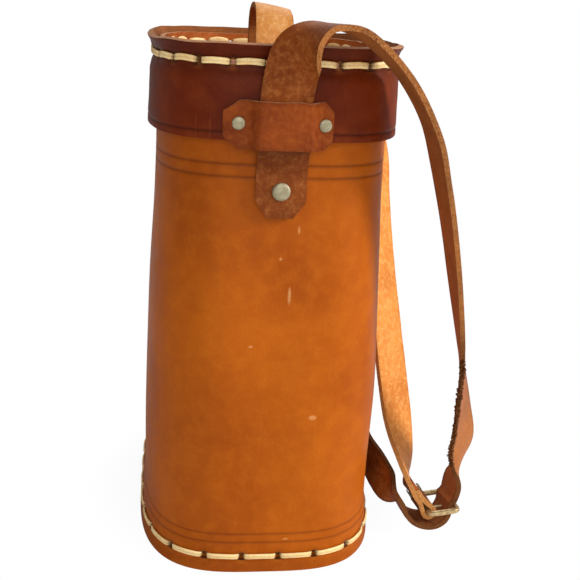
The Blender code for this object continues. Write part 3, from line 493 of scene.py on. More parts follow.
bm, place = skin_grid(wall_shares, wall_levels, wall_skin)
punch(bm, place, wall_skin, PLAN_LENGTH, [(share, BASE_LACE_Z) for share in BASE_SHARES], HOLE)
punch(bm, place, wall_skin, PLAN_LENGTH,
      [(SEAM_SHARE + s * SEAM_SIDE / PLAN_LENGTH, z) for s in (-1, 1) for z in rung_levels], SEAM_HOLE)
wall = hide_piece("case_wall", bm, place, WALL, [TAN_GRAIN, TAN_FLESH, TAN_EDGE], wall_shade,
                  lambda share, z: lip(share, z, BASE_SHARES, PLAN_LENGTH, BASE_LACE_Z))
placed(wall, "body", "tan_leather", "body_wall")


# ---- Base plate --------------------------------------------------------------------------------------------
# A second piece of the same leather, moulded wet into a shallow dish. Its turned-up edge stands inside the
# foot of the wall and has the same row of holes.

PLATE = 2.8 * MM
BASE_FLANGE_TOP = 20 * MM
FOOT_TURN = 6 * MM
FIT = 0.3 * MM


def dish(name, shares, levels, floor, mats, holes, skin, shade):
    """A moulded dish: a laced flange, a turned corner and a floor that runs in to the middle."""
    bm, place = closed_grid(shares, levels, skin)
    punch(bm, place, skin, PLAN_LENGTH, holes, INNER_HOLE)
    corners = {v for v, p in place.items() if abs(p[1] - levels[0]) < 1e-7}
    loop = [e for e in bm.edges if e.is_boundary and e.verts[0] in corners and e.verts[1] in corners]
    where = {v: place[v][0] for v in corners}
    for step in floor:
        grown = bmesh.ops.extrude_edge_only(bm, edges=loop)["geom"]
        fresh = {v for v in grown if isinstance(v, bmesh.types.BMVert)}
        after = {}
        for vert in fresh:
            old = next(e.other_vert(vert) for e in vert.link_edges if e.other_vert(vert) in where)
            after[vert] = where[old]
        for vert, share in after.items():
            vert.co = step(share)
            place[vert] = (share, vert.co.z)
        where = after
        loop = [e for e in grown if isinstance(e, bmesh.types.BMEdge) and set(e.verts) <= fresh]
    bmesh.ops.contextual_create(bm, geom=loop)
    return hide_piece(name, bm, place, PLATE, mats, shade)


def base_skin(share, z, off=0.0):
    """The outer face of the plate's turned-up edge, upright below the turn of the foot."""
    level = max(z, FOOT_TURN)
    return wall_skin(share, level, -WALL - FIT + off) - Vector((0, 0, level - z))


def base_step(inset, z, scale=1.0):
    """One ring of the plate's floor, at an inset from its flange."""
    def ring(share):
        spot = base_skin(share, FOOT_TURN, -inset)
        return Vector((spot.x * scale, spot.y * scale, z))
    return ring


closed_shares = columns_round(BASE_SHARES, PLAN_LENGTH, BASE_SHARES[0], BASE_SHARES[0] + 1.0)
base_levels = mm(3.5, 5, 6.4, 7.4, 8.3, 9.2, 10, 10.8, 11.7, 12.6, 14, 17) + [BASE_FLANGE_TOP]
base_floor = [base_step(0.5 * MM, 1.8 * MM), base_step(1.7 * MM, 0.5 * MM), base_step(3.5 * MM, 0.05 * MM)]
base_floor += [base_step(4 * MM, 0.05 * MM, s) for s in (0.9, 0.7, 0.45, 0.2, 0.05)]
base = dish("base_dish", closed_shares, base_levels, base_floor, [TAN_GRAIN, TAN_FLESH, TAN_EDGE],
            [(share, BASE_LACE_Z) for share in BASE_SHARES], base_skin,
            lambda share, z: 0.15 * bump_at(z, 0, 3 * MM))
placed(base, "body", "tan_leather", "base_plate")


# ---- Base lacing -------------------------------------------------------------------------------------------
# A flat rawhide lace, 3.4 mm wide, runs twice round through the wall and the plate's edge, so that every
# interval shows a stitch outside and inside, and each hole stays open and dark between two stitches.

LACE_WIDTH = 3.5 * MM
LACE_THICK = 1.5 * MM


def rawhide(name, base, deep, pale):
    """Pale stiff lace with lengthwise shading, and painted shade from its dark layer."""
    mat, tree, shader, spot = new_material(name)
    large = cloud(tree, spot, 60.0, 3.0, 0.6)
    fine = cloud(tree, spot, 700.0, 4.0, 0.6)
    colour = mixed(tree, ranged(tree, large, 0.35, 0.6), (*deep, 1), (*base, 1))
    colour = mixed(tree, ranged(tree, fine, 0.4, 0.7, 0.0, 0.6), colour, (*pale, 1))
    # Painted shade where each stitch goes into its holes and along its sunk middle groove.
    colour = tinted(tree, colour, "dark", (0.16, 0.07, 0.02, 1))
    tree.links.new(colour, shader.inputs["Base Color"])
    shader.inputs["Roughness"].default_value = 0.48
    bump = node(tree, "Bump", Strength=0.3, Distance=0.0005, Height=fine).outputs[0]
    tree.links.new(bump, shader.inputs["Normal"])
    return mat


LACE = rawhide("rawhide_lace", (0.93, 0.66, 0.27), (0.82, 0.50, 0.17), (0.98, 0.84, 0.50))


def sweep(bm, stations, sides, dark=None, shades=None):
    """A band swept along stations of middle, across, out, half width and half thickness, with closed ends."""
    loops = []
    for middle, across, out, half_width, half_thick in stations:
        turn = Matrix((across, out, across.cross(out))).transposed()
        ring = bmesh.ops.create_circle(bm, cap_ends=False, radius=1.0, segments=sides)["verts"]
        for vert in ring:
            squared = 1 / max(abs(vert.co.x), abs(vert.co.y)) ** 0.35
            # A lace's middle groove is sunk and painted darker, as painted shade in the groove.
            groove = shades is not None and abs(vert.co.x) < 0.1
            sunk = 0.72 if groove else 1.0
            flat = Vector((vert.co.x * squared * half_width, vert.co.y * squared * half_thick * sunk, 0))
            vert.co = middle + turn @ flat
            if shades is not None:
                shades[vert] = min(dark[len(loops)] + (0.3 if groove else 0.0), 1.0)
        loops.append(ring)
    for low, high in zip(loops, loops[1:]):
        bmesh.ops.bridge_loops(bm, edges=ring_edges(low) + ring_edges(high))
    for ring in (loops[0], loops[-1]):
        bmesh.ops.contextual_create(bm, geom=ring_edges(ring))


def ring_edges(ring):
    """The open edges of one ring of corners."""
    inside = set(ring)
    return list({edge for vert in ring for edge in vert.link_edges
                 if edge.other_vert(vert) in inside and len(edge.link_faces) < 2})


def course_at(line, k):
    """The direction of a line of points at one of them."""
    return (line[min(k + 1, len(line) - 1)] - line[max(k - 1, 0)]).normalized()


def square_to(width, course):
    """A direction made square to a course."""
    return (width - course * width.dot(course)).normalized()


def stitch_stations(skin, level, start, end, length, slack, swing):
    """One stitch from hole to hole along a skin, and how much painted shade it carries at each station."""
    reach = gap_round(end, start)
    lip = 1.8 * MM / length
    ends = [(0.0, -3.2 * MM, 0.7), (0.0, -0.9 * MM, 0.86), (0.2, 0.5 * MM, 0.98)]
    spots = [(start + lip * (1 + lean * 2), out, width) for lean, out, width in ends]
    for k in range(1, 8):
        bow = LACE_THICK / 2 + slack * math.sin(k / 8 * math.pi)
        spots.append((start + lip * 1.5 + (reach - lip * 3) * k / 8, bow, 1.0))
    spots += [(start + reach - lip * (1 + lean * 2), out, width) for lean, out, width in reversed(ends)]
    last = len(spots) - 1
    line = [skin(share, level + swing * math.sin(k / last * math.pi), out)
            for k, (share, out, _) in enumerate(spots)]
    stations = []
    for k, (here, (_, _, width)) in enumerate(zip(line, spots)):
        course = course_at(line, k)
        across = square_to(Vector((0, 0, 1)), course)
        stations.append((here, across, across.cross(course), LACE_WIDTH / 2 * width,
                         LACE_THICK / 2 * (0.75 + 0.25 * width)))
    # Painted shade at both ends, where the stitch goes into its holes.
    return stations, [0.9, 0.7, 0.1] + [0.0] * 7 + [0.1, 0.7, 0.9]


def lacing(name, outer, inner, level, holes, length, swings):
    """Every stitch of one lace, outside and inside, in one piece."""
    bm = bmesh.new()
    shades = {}
    for i, start in enumerate(holes):
        end = holes[(i + 1) % len(holes)]
        wobble = wander(i * 3.1, level * 50, 0.5)
        for skin, slack, swing in ((outer, (0.35 + 0.3 * wobble) * MM, swings[0] * (1 + 0.5 * wobble)),
                                   (inner, 0.5 * MM, swings[1] * (1 + wobble))):
            stations, darks = stitch_stations(skin, level, start, end, length, slack, swing)
            sweep(bm, stations, 12, darks, shades)
    bmesh.ops.recalc_face_normals(bm, faces=bm.faces[:])
    bm.verts.index_update()
    values = [shades.get(vert, 0.0) for vert in bm.verts]
    obj = meshed(name, bm, LACE)
    painted(obj, "dark", values)
    return settled(obj, 50)


base_stack = WALL + FIT + PLATE
base_lacing = lacing("base_lacing", wall_skin, lambda share, z, off: wall_skin(share, z, -base_stack - off),
                     BASE_LACE_Z, BASE_SHARES, PLAN_LENGTH, (0.7 * MM, 0.6 * MM))
placed(base_lacing, "body", "cream_lace", "base_lace")


# ---- Side seam lacing --------------------------------------------------------------------------------------
# A round rawhide thong closes the wall's two edges: a rung outside at each level, then up to the next one
# inside.

THONG = 1.15 * MM


def tube(name, points, radius, sides):
    """A round rawhide thong through smooth points."""
    fine = [through(points, i, k / 5) for i in range(len(points) - 1) for k in range(5)] + [points[-1]]
    bm = bmesh.new()
    stations = []
    across = Vector((0, 0, 1))
    for k, here in enumerate(fine):
        course = course_at(fine, k)
        across = across - course * across.dot(course)
        if across.length < 0.2:
            across = Vector((1, 0, 0)) - course * course.x
        across.normalize()
        stations.append((here, across.copy(), course.cross(across), radius * 0.93, radius * 0.93))
    sweep(bm, stations, sides)
    bmesh.ops.recalc_face_normals(bm, faces=bm.faces[:])
    return settled(meshed(name, bm, LACE), 60)


def through(values, i, t):
    """A point on a smooth curve through all the values, between one and the next."""
    a, b = values[max(i - 1, 0)], values[i]
    c, d = values[i + 1], values[min(i + 2, len(values) - 1)]
    bend, twist = 2 * a - 5 * b + 4 * c - d, 3 * b - a - 3 * c + d
    return 0.5 * (2 * b + (c - a) * t + bend * t * t + twist * t ** 3)


def at_seam(across, z, off):
    """A point on the wall beside the seam."""
    return wall_skin(SEAM_SHARE + across / PLAN_LENGTH, z, off)


side = 1
thong_points = [at_seam(SEAM_SIDE, rung_levels[0], off) for off in (-WALL - 1.2 * MM, -WALL / 2)]
for z, higher in zip(rung_levels, rung_levels[1:] + [None]):
    for part, off in ((0.9, 0.6), (0.4, 1.35), (-0.4, 1.35), (-0.9, 0.6)):
        thong_points.append(at_seam(side * SEAM_SIDE * part, z + part * side * 0.3 * MM, off * MM))
    side = -side
    thong_points.append(at_seam(side * SEAM_SIDE, z, -WALL / 2))
    if higher:
        climb = ((1, z + 1.2 * MM, 1.1), (0.9, z + 5 * MM, 1.4), (0.9, (z + higher) / 2, 1.4),
                 (0.9, higher - 5 * MM, 1.4), (1, higher - 1.2 * MM, 1.1))
        for part, level, off in climb:
            thong_points.append(at_seam(side * SEAM_SIDE * part, level, -WALL - off * MM))
        thong_points.append(at_seam(side * SEAM_SIDE, higher, -WALL / 2))
seam_thong = tube("side_seam_thong", thong_points, THONG, 10)
painted(seam_thong, "dark", [0.0] * len(seam_thong.data.vertices))
placed(seam_thong, "body", "cream_lace", "body_seam_lace")


# ---- Rivets ------------------------------------------------------------------------------------------------
# Tubular brass rivets with low domed caps, dulled with age. Large ones hold the strap's ends, smaller ones
# the keepers, the handle and the strap's fold. Each has a thin disc behind the leather.

def old_brass(name, base, deep, rough):
    """Brass with a dull, cloudy film."""
    mat, tree, shader, spot = new_material(name)
    large = cloud(tree, spot, 320.0, 4.0, 0.6)
    fine = cloud(tree, spot, 1500.0, 5.0, 0.65)
    colour = mixed(tree, ranged(tree, large, 0.4, 0.65), (*deep, 1), (*base, 1))
    tree.links.new(colour, shader.inputs["Base Color"])
    shader.inputs["Metallic"].default_value = 0.6
    tree.links.new(ranged(tree, fine, 0.3, 0.7, rough - 0.1, rough + 0.14), shader.inputs["Roughness"])
    bump = node(tree, "Bump", Strength=0.22, Distance=0.0003, Height=fine).outputs[0]
    tree.links.new(bump, shader.inputs["Normal"])
    return mat


RIVET_BRASS = old_brass("rivet_brass", (0.42, 0.38, 0.25), (0.29, 0.25, 0.15), 0.55)


def turned(name, profile, foot, direction, mat, steps=36):
    """A round piece spun from a profile of radius and height."""
    bm = bmesh.new()
    corners = [bm.verts.new((r, 0, h)) for r, h in profile]
    edges = [bm.edges.new(pair) for pair in zip(corners, corners[1:])]
    bmesh.ops.spin(bm, geom=edges + corners, axis=(0, 0, 1), cent=(0, 0, 0), steps=steps, angle=2 * math.pi,
                   use_merge=True)
    bmesh.ops.remove_doubles(bm, verts=bm.verts, dist=1e-7)
    bmesh.ops.recalc_face_normals(bm, faces=bm.faces[:])
    turn = direction.to_track_quat("Z", "X").to_matrix().to_4x4()
    bmesh.ops.transform(bm, matrix=Matrix.Translation(foot) @ turn, verts=bm.verts)
    return settled(meshed(name, bm, mat), 40)


def reach_of(name, direction, half):
    """The middle of a solid, and how far it reaches from there, if that isn't given."""
    low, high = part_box(name)
    middle = (low + high) / 2
    return middle, half or max(abs(direction.dot(high - middle)), abs(direction.dot(low - middle)))


def rivet_pair(stud_node, direction, head, body, half=None, cap_half=None):
    """The domed head with its shank, and the disc behind, each where its solid is."""
    middle, reach = reach_of(stud_node, direction, half)
    rise, shank = head * 0.42, head * 0.4
    depth = 2 * reach - rise
    dome = ((0, 0.66), (0.5, 0.64), (0.8, 0.57), (0.93, 0.42), (0.99, 0.22), (1, 0.08), (0.97, 0))
    profile = [(head * r, rise * h) for r, h in dome] + [(shank, 0), (shank, -depth), (0, -depth)]
    foot = middle + direction * reach - direction * rise
    stud = turned(stud_node + "_stud", profile, foot, direction, RIVET_BRASS)
    placed(stud, body, "antique_brass", stud_node)
    middle, reach = reach_of(stud_node + "_cap", direction, cap_half)
    plate = ((0, 0), (0.86, 0), (0.9, 0.25), (0.84, 0.7), (0.5, 1), (0, 1))
    profile = [(head * r, 2 * reach * h) for r, h in plate]
    disc = turned(stud_node + "_disc", profile, middle + direction * reach, -direction, RIVET_BRASS)
    placed(disc, body, "antique_brass", stud_node + "_cap")


FRONT, REAR, SKY = Vector((0, -1, 0)), Vector((0, 1, 0)), Vector((0, 0, 1))
BIG_HEAD, SMALL_HEAD = 5.1 * MM, 3.5 * MM
rivet_pair("front_strap_rivet", FRONT, BIG_HEAD, "body")
rivet_pair("rear_strap_rivet", REAR, BIG_HEAD, "body")


# ---- Lid skirt ---------------------------------------------------------------------------------------------
# A band of the same leather, dyed darker, fits over the mouth of the case. Its lower edge stands a little
# proud with one creased line, it is drawn in where it is laced, and its pale cut rim flares out again
# above.

LID_WALL = 3.2 * MM
LID_BOTTOM, LID_RIM, LID_LACE_Z = 266.5 * MM, 316 * MM, 306.5 * MM
LID_HALVES = (72.5, 92.5)
LID_HOLES = 31
LID_FIRST = 9 * MM
LID_LENGTH = PLAN_LENGTH * sum(LID_HALVES) / sum(BODY_HALVES)
LID_SHARES = hole_shares(LID_HOLES, LID_FIRST, LID_LENGTH)
LID_CREASE = 270.6 * MM

LID_GRAIN = leather("lid_grain", (0.17, 0.024, 0.003), (0.10, 0.011, 0.0015), (0.34, 0.07, 0.010), grain=1300,
                    relief=0.12, blotch=9, gloss=(0.4, 0.55), mottle=0.2)
LID_FLESH = rough_leather("lid_flesh", (0.36, 0.11, 0.03), (0.22, 0.06, 0.014), (0.52, 0.22, 0.08))
LID_EDGE = rough_leather("lid_edge", (0.60, 0.30, 0.15), (0.46, 0.18, 0.07), (0.80, 0.52, 0.34))


def lid_out(z):
    """The skirt's own profile."""
    profile = ((266.5, 2.2), (270, 2.1), (285, 1.5), (297.5, 1.1), (304.3, -1.2), (308.7, -1.2), (312, 0.6),
               (316, 2.5))
    for (low, a), (high, b) in zip(profile, profile[1:]):
        if z <= high * MM:
            return (a + (b - a) * ease(low * MM, high * MM, z)) * MM
    return profile[-1][1] * MM


def lid_skin(share, z, off=0.0):
    """A point on the skirt's grain side. Its rim and lower edge waver a little, and each hole draws it in."""
    spot, out = plan(share, *mm(*LID_HALVES))
    high = ease(309 * MM, LID_RIM, z)
    low = 1 - ease(LID_BOTTOM, 272 * MM, z)
    wave = wander(spot.x * 30, spot.y * 30, 2.0)
    rim_wave = wander(spot.x * 45, spot.y * 45, 7.0)
    spot.z = z + (rim_wave * 0.9 * high + wave * 0.6 * low) * MM
    row = math.cos((share - LID_SHARES[0]) * LID_HOLES * 2 * math.pi)
    pucker = -0.35 * MM * max(row, 0) * bump_at(z, LID_LACE_Z - 1 * MM, 4.5 * MM)
    crease = 0.35 * MM * bump_at(z, LID_CREASE, 0.7 * MM)
    slack = 0.5 * MM * wave * (1 - high) * ease(268 * MM, 280 * MM, z) * (1 - ease(292 * MM, 300 * MM, z))
    return spot + out * (lid_out(z) + pucker - crease + slack * 0.6 + off)


def lid_shade(share, z):
    """Painted shade in the crease and round the lacing holes; darker above the lacing."""
    near = min(math.hypot(gap_round(share, h) * LID_LENGTH, z - LID_LACE_Z) for h in LID_SHARES)
    dark = 0.6 * bump_at(z, LID_CREASE, 0.8 * MM) + 0.6 * math.exp(-max(near - HOLE, 0) / (1.2 * MM))
    dark += 0.35 * ease(297 * MM, 305 * MM, z)
    return min(dark, 0.9)


lid_shares = columns_round(LID_SHARES, LID_LENGTH, LID_SHARES[0], LID_SHARES[0] + 1.0)
lid_levels = about(LID_BOTTOM, 0, 0.9, 2, 3, 3.6, 4.1, 4.6, 5.2, 6.2) + between(275 * MM, 300 * MM, 3 * MM)
lid_levels += about(LID_LACE_Z, -6.5, -5, -3.9, -3, -2.2, -1.5, -0.75, 0, 0.75, 1.5, 2.2, 3, 4, 5.2, 6.4, 7.6)
lid_levels += [315 * MM, LID_RIM]
bm, place = closed_grid(lid_shares, sorted(lid_levels), lid_skin)
punch(bm, place, lid_skin, LID_LENGTH, [(share, LID_LACE_Z) for share in LID_SHARES], HOLE)
skirt = hide_piece("lid_band", bm, place, LID_WALL, [LID_GRAIN, LID_FLESH, LID_EDGE], lid_shade,
                   lambda share, z: lip(share, z, LID_SHARES, LID_LENGTH, LID_LACE_Z) * 0.7)
placed(skirt, "lid", "lid_leather", "lid_skirt")


# ---- Lid top -----------------------------------------------------------------------------------------------
# A moulded plate closes the skirt. It lies a finger's breadth below the rim, and its turned-up edge is
# laced to the skirt from inside.

LID_FLANGE_TOP = 313 * MM
LID_TOP_LOW = 298 * MM


def flange_skin(share, z, off=0.0):
    """The outer face of the plate's turned-up edge."""
    spot = lid_skin(share, LID_LACE_Z, -LID_WALL - FIT + off)
    wave = wander(spot.x * 60, spot.y * 60, 4.0) * 0.5 * MM * ease(309 * MM, LID_FLANGE_TOP, z)
    return Vector((spot.x, spot.y, z + wave))


def lid_step(inset, z, scale=1.0):
    """One ring of the plate's sagging floor."""
    def ring(share):
        spot = flange_skin(share, LID_LACE_Z, -inset)
        sag = wander(spot.x * scale * 22, spot.y * scale * 22, 9.0) * 0.5 * MM * (1 - scale)
        return Vector((spot.x * scale, spot.y * scale, z + sag))
    return ring


TOP_GRAIN = leather("lid_top_grain", (0.46, 0.125, 0.022), (0.28, 0.06, 0.01), (0.62, 0.23, 0.07), grain=1000,
                    relief=0.2, blotch=24)
top_levels = [301.5 * MM] + about(LID_LACE_Z, -3.2, -2.3, -1.5, -0.75, 0, 0.75, 1.5, 2.3, 3.2, 4.6)
top_levels += [LID_FLANGE_TOP]
top_floor = [lid_step(0.5 * MM, 299.8 * MM), lid_step(1.7 * MM, 298.5 * MM), lid_step(3.5 * MM, LID_TOP_LOW)]
top_floor += [lid_step(4 * MM, LID_TOP_LOW, scale)
              for scale in (0.93, 0.84, 0.74, 0.64, 0.54, 0.44, 0.34, 0.24, 0.14, 0.05)]
lid_plate = dish("lid_dish", lid_shares, top_levels, top_floor, [LID_FLESH, TOP_GRAIN, LID_EDGE],
                 [(share, LID_LACE_Z) for share in LID_SHARES], flange_skin, lambda share, z: 0.0)
placed(lid_plate, "lid", "lid_leather", "lid_top")


# ---- Lid lacing --------------------------------------------------------------------------------------------
# The same rawhide lace as round the base, a little slacker, so that its stitches bow on the inside of the
# rim.

lid_stack = LID_WALL + FIT + PLATE


def inside_rim(share, z, off):
    """The inner face of the plate's edge. It stays upright, whatever the skirt does above."""
    return lid_skin(share, LID_LACE_Z, -lid_stack - off) + Vector((0, 0, z - LID_LACE_Z))


lid_lacing = lacing("lid_lacing", lid_skin, inside_rim, LID_LACE_Z, LID_SHARES, LID_LENGTH,
                    (1.1 * MM, 1.8 * MM))
placed(lid_lacing, "lid", "cream_lace", "lid_lace")


# ---- Shoulder strap leather --------------------------------------------------------------------------------
# The straps, keepers and handle are cut from one softer, waxed hide, brown with a crackled grain that shows
# orange where it is worn. The rear length and the handle get a paler, more orange copy of it, partly painted
# light for the lamp that falls on them.

STRAP_GRAIN = leather("strap_grain", (0.27, 0.062, 0.008), (0.15, 0.028, 0.003), (0.58, 0.22, 0.055),
                      grain=850, relief=0.5, blotch=30, gloss=(0.42, 0.62), fleck=0.16, streak=0.15,
                      mottle=0.25)
STRAP_FLESH = rough_leather("strap_flesh", (0.34, 0.105, 0.022), (0.24, 0.065, 0.012), (0.50, 0.2, 0.06))
STRAP_EDGE = rough_leather("strap_edge", (0.34, 0.11, 0.025), (0.15, 0.042, 0.009), (0.72, 0.33, 0.11),
                           fibre=1100)


BAND_COLUMNS = 10


def distances(line):
    """How far along a line of points each of them lies."""
    runs = [0.0]
    for a, b in zip(line, line[1:]):
        runs.append(runs[-1] + (b - a).length)
    return runs


def band(name, stations, half_width, thickness, mats, crown=0.25 * MM, fray=None, shade=None, glow=None):
    """A flat strap along stations of middle and width direction, crowned across and with uneven edges."""
    line = [here for here, _ in stations]
    spots = []
    for k, (here, width) in enumerate(stations):
        course = course_at(line, k)
        across = square_to(width, course)
        spots.append((here, across, course.cross(across)))
    runs = distances(line)
    bm = bmesh.new()
    bmesh.ops.create_grid(bm, x_segments=BAND_COLUMNS, y_segments=len(spots) - 1, size=1.0)
    place = {}
    for vert in bm.verts:
        side = vert.co.x
        j = round((vert.co.y + 1) / 2 * (len(spots) - 1))
        place[vert] = (side, runs[j])
        here, across, out = spots[j]
        half = half_width(runs[j], runs[-1]) if callable(half_width) else half_width
        waver = wander(runs[j] * 55, side * 3, 1.0) * 0.3 * MM
        waver += wander(runs[j] * 400, side * 3, 5.0) * 0.16 * MM
        if fray:
            waver -= fray(side, runs[j])
        reach = side * (half + waver * abs(side) ** 3)
        vert.co = here + across * reach + out * crown * (1 - side * side)
    bmesh.ops.reverse_faces(bm, faces=bm.faces[:])
    return hide_piece(name, bm, place, thickness, mats, shade, glow, 0.0)


def even_course(stations, step):
    """Stations closely and evenly spaced on a smooth curve through the given ones."""
    spots = [spot for spot, _ in stations]
    widths = [width.normalized() for _, width in stations]
    fine = [(through(spots, i, k / 12), through(widths, i, k / 12).normalized())
            for i in range(len(spots) - 1) for k in range(12)] + [(spots[-1], widths[-1])]
    runs = distances([spot for spot, _ in fine])
    count = max(2, round(runs[-1] / step))
    made = []
    for n in range(count + 1):
        target = runs[-1] * n / count
        i = min(max(bisect.bisect(runs, target), 1), len(runs) - 1)
        part = (target - runs[i - 1]) / max(runs[i] - runs[i - 1], 1e-12)
        spot = fine[i - 1][0].lerp(fine[i][0], part)
        width = fine[i - 1][1].lerp(fine[i][1], part)
        made.append((spot, width.normalized()))
    return made


# ---- Buckle's place ----------------------------------------------------------------------------------------
# The buckle hangs near the lowest point of the loop with its heel bar towards the case.

BUCKLE_HEEL = Vector((114, -60, 15.5)) * MM
ALONG = Vector((1, 0, 0.14)).normalized()
ACROSS = Vector((0.08, -0.96, 0.22))
ACROSS = (ACROSS - ALONG * ACROSS.dot(ALONG)).normalized()
OUTWARD = ALONG.cross(ACROSS)
BUCKLE_LENGTH, BUCKLE_HALF, BUCKLE_BAR = 19 * MM, 17.5 * MM, 2.0 * MM
STRAP_HALF, STRAP_THICK = 14 * MM, 3 * MM
LAYER = STRAP_THICK + FIT
fold_size = math.hypot(-0.45, -0.89)
UP_ALONG, UP_OUT = -0.45 / fold_size, -0.89 / fold_size


def at_buckle(along, outward, across=0.0):
    """A point in the buckle's own frame, measured from the middle of its heel bar."""
    return BUCKLE_HEEL + ALONG * along + OUTWARD * outward + ACROSS * across


def at_fold(run, off):
    """A point in the rear strap's fold: along it from the heel bar, and off its middle."""
    return at_buckle(UP_ALONG * run + UP_OUT * off, UP_OUT * run - UP_ALONG * off)


# ---- Front strap -------------------------------------------------------------------------------------------
# Riveted to the narrow end, it runs up under the keeper, bends over the rim and hangs in a long twisted
# curve beside the case. It goes down through the buckle inside its far bar and turns back below the rear
# strap's fold, and its end stands up beside the case. Its near edge is badly frayed low down.

# the middle of the strap in millimetres, and the direction of its width
FRONT_ROUTE = [((0, -96.7, 289), (-1, 0, 0)), ((1.5, -99.5, 303), (-.97, .2, 0)),
               ((4.5, -105, 315), (-.72, .68, .1)), ((11, -107, 323.5), (-.4, .9, .05)),
               ((20, -107, 327), (-.2, .97, 0)),
               ((36.3, -106, 323.7), (-.08, .99, -.05)), ((60.3, -99.9, 304.4), (-.12, .98, .1)),
               ((79.7, -93.8, 277.1), (-.1, .97, .2)), ((92, -84.1, 248.4), (-.07, .97, .2)),
               ((102.4, -79.4, 214.7), (0, .99, .12)), ((112.6, -74.6, 175.4), (.06, .99, .14)),
               ((123.2, -68.4, 131.9), (.22, .97, .13)), ((130.7, -64.5, 88.1), (.55, .82, .15)),
               ((135.2, -59.2, 62), (.72, .69, .02)), ((135.8, -57.4, 46), (.5, .86, -.1))]
TAIL_ROUTE = [((90.2, -50, 24.2), (-.2, .5, -.85)), ((85.7, -38, 29.4), (-.2, .4, -.9)),
              ((82.5, -16, 31.5), (-.05, .25, -.97)), ((83, -2, 34), (0, .2, -.98))]


def tab_stations(end):
    """The riveted end, up the wall and over the lid's edge to its keeper. end is -1 in front, 1 behind."""
    share = 0.0 if end < 0 else 0.5
    line = [(wall_skin(share, z, 0.55 * MM + STRAP_THICK / 2).y, z) for z in mm(224, 229, 233, 239, 245, 250)]
    line += [(end * 96.5 * MM, z) for z in mm(264, 270, 276)]
    return [(Vector((0, y, z)), Vector((end, 0, 0))) for y, z in line]


def in_metres(route):
    """A route with its places in metres."""
    return [(Vector(spot) * MM, Vector(width)) for spot, width in route]


inner_bar = BUCKLE_BAR + FIT + 0.9 * MM + STRAP_THICK / 2
dive = math.radians(55)
TURN_BACK = [(13.8, 3), (9.8, 8.4), (3, 11), (-4.5, 10), (-11, 6), (-15, 0), (-16.3, -6.5)]
through_frame = [(at_buckle(BUCKLE_LENGTH + 3 * MM, -16 * MM, 1.5 * MM), -ACROSS)]
for degrees in (-40, -20, 0):
    a = dive + math.radians(degrees)
    spot = at_buckle(BUCKLE_LENGTH - inner_bar * math.sin(a), -inner_bar * math.cos(a))
    through_frame.append((spot, -ACROSS))
through_frame += [(at_buckle(along * MM, outward * MM), -ACROSS) for along, outward in TURN_BACK]

front_tab = tab_stations(-1)
front_hang = [front_tab[-1]] + in_metres(FRONT_ROUTE) + through_frame + in_metres(TAIL_ROUTE)


def tab_half(run, whole):
    """The riveted end's corners are clipped."""
    return STRAP_HALF - 7 * MM * max(1 - run / (9 * MM), 0)


def tail_half(run, whole):
    """The far end is cut to a blunt point."""
    return STRAP_HALF - 6 * MM * max(1 - (whole - run) / (8 * MM), 0) ** 1.5


def frayed(side, run):
    """Bites out of the near edge, low down on the hanging length."""
    if side > -0.6:
        return 0.0
    zone = ease(0.27, 0.30, run) * (1 - ease(0.37, 0.39, run))
    torn = max(wander(run * 160, 3.0, 0) + 0.1, 0) * 2.2
    torn += max(wander(run * 620, 9.0, 0), 0) * 1.2
    return torn * zone * MM * 0.9


def add_fibres(obj, stations):
    """Torn fibres that stand out of the near edge over its worn stretch."""
    bm = bmesh.new()
    bm.from_mesh(obj.data)
    old, dark = set(bm.faces), bm.verts.layers.float["dark"]
    line = [here for here, _ in stations]
    for i, (here, width) in enumerate(stations[1:-1], 1):
        if here.x < 110 * MM or not 52 * MM < here.z < 135 * MM:
            continue
        course = course_at(line, i)
        across = square_to(width, course)
        out = course.cross(across)
        thick = max(wander(i * 0.55, 4.0, 0) + 0.3, 0)
        for k in range(9):
            seed = Vector((i * 1.7, k * 2.3, 0.7))
            lean = noise.noise(seed) * 1.6
            length = (0.1 + 9.5 * thick * abs(noise.noise(seed + Vector((5, 0, 0))))) * MM
            foot = here - across * (STRAP_HALF - 0.5 * MM) + course * ((k - 4) * 0.25 * MM)
            foot += out * noise.noise(seed + Vector((0, 9, 0))) * 2.4 * MM
            aim = (-across + course * lean + out * noise.noise(seed + Vector((0, 0, 8))) * 1.2).normalized()
            turn = aim.to_track_quat("Z", "X").to_matrix().to_4x4()
            made = bmesh.ops.create_cone(bm, cap_ends=True, segments=5, radius1=0.9 * MM, radius2=0.3 * MM,
                                         depth=length + MM,
                                         matrix=Matrix.Translation(foot + aim * length / 2) @ turn)
            # The fibres are painted dark, as painted shade along the near edge.
            for vert in made["verts"]:
                vert[dark] = 0.75
    for face in bm.faces:
        if face not in old:
            face.material_index = 2
    bm.to_mesh(obj.data)
    bm.free()


def strap_shade(side, run):
    """Unevenly darker along the edges."""
    return 0.35 * max(abs(side) - 0.86, 0) / 0.14 * (0.5 + 0.5 * wander(run * 300, side, 0))


def low_shade(side, run):
    """The front strap's cut edges are painted dark from the crossing down, as painted shade."""
    return max(strap_shade(side, run), 0.7 * ease(0.25, 0.31, run) * max(abs(side) - 0.86, 0) / 0.14)


def strap_painted_light(side, run):
    """Painted light below the crossing, mostly taken away again where the strap turns under into the buckle.
    """
    return 0.34 * ease(0.30, 0.37, run) * (1 - 0.85 * ease(0.395, 0.43, run))


STRAP_MATS = [STRAP_GRAIN, STRAP_FLESH, STRAP_EDGE]


def crossing(obj, a, b, start, end, node_name):
    """Let a strap bend from one body to the next between two points, and stand for its solid."""
    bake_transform(obj, a, b, start=start, end=end)
    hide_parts(node_name)
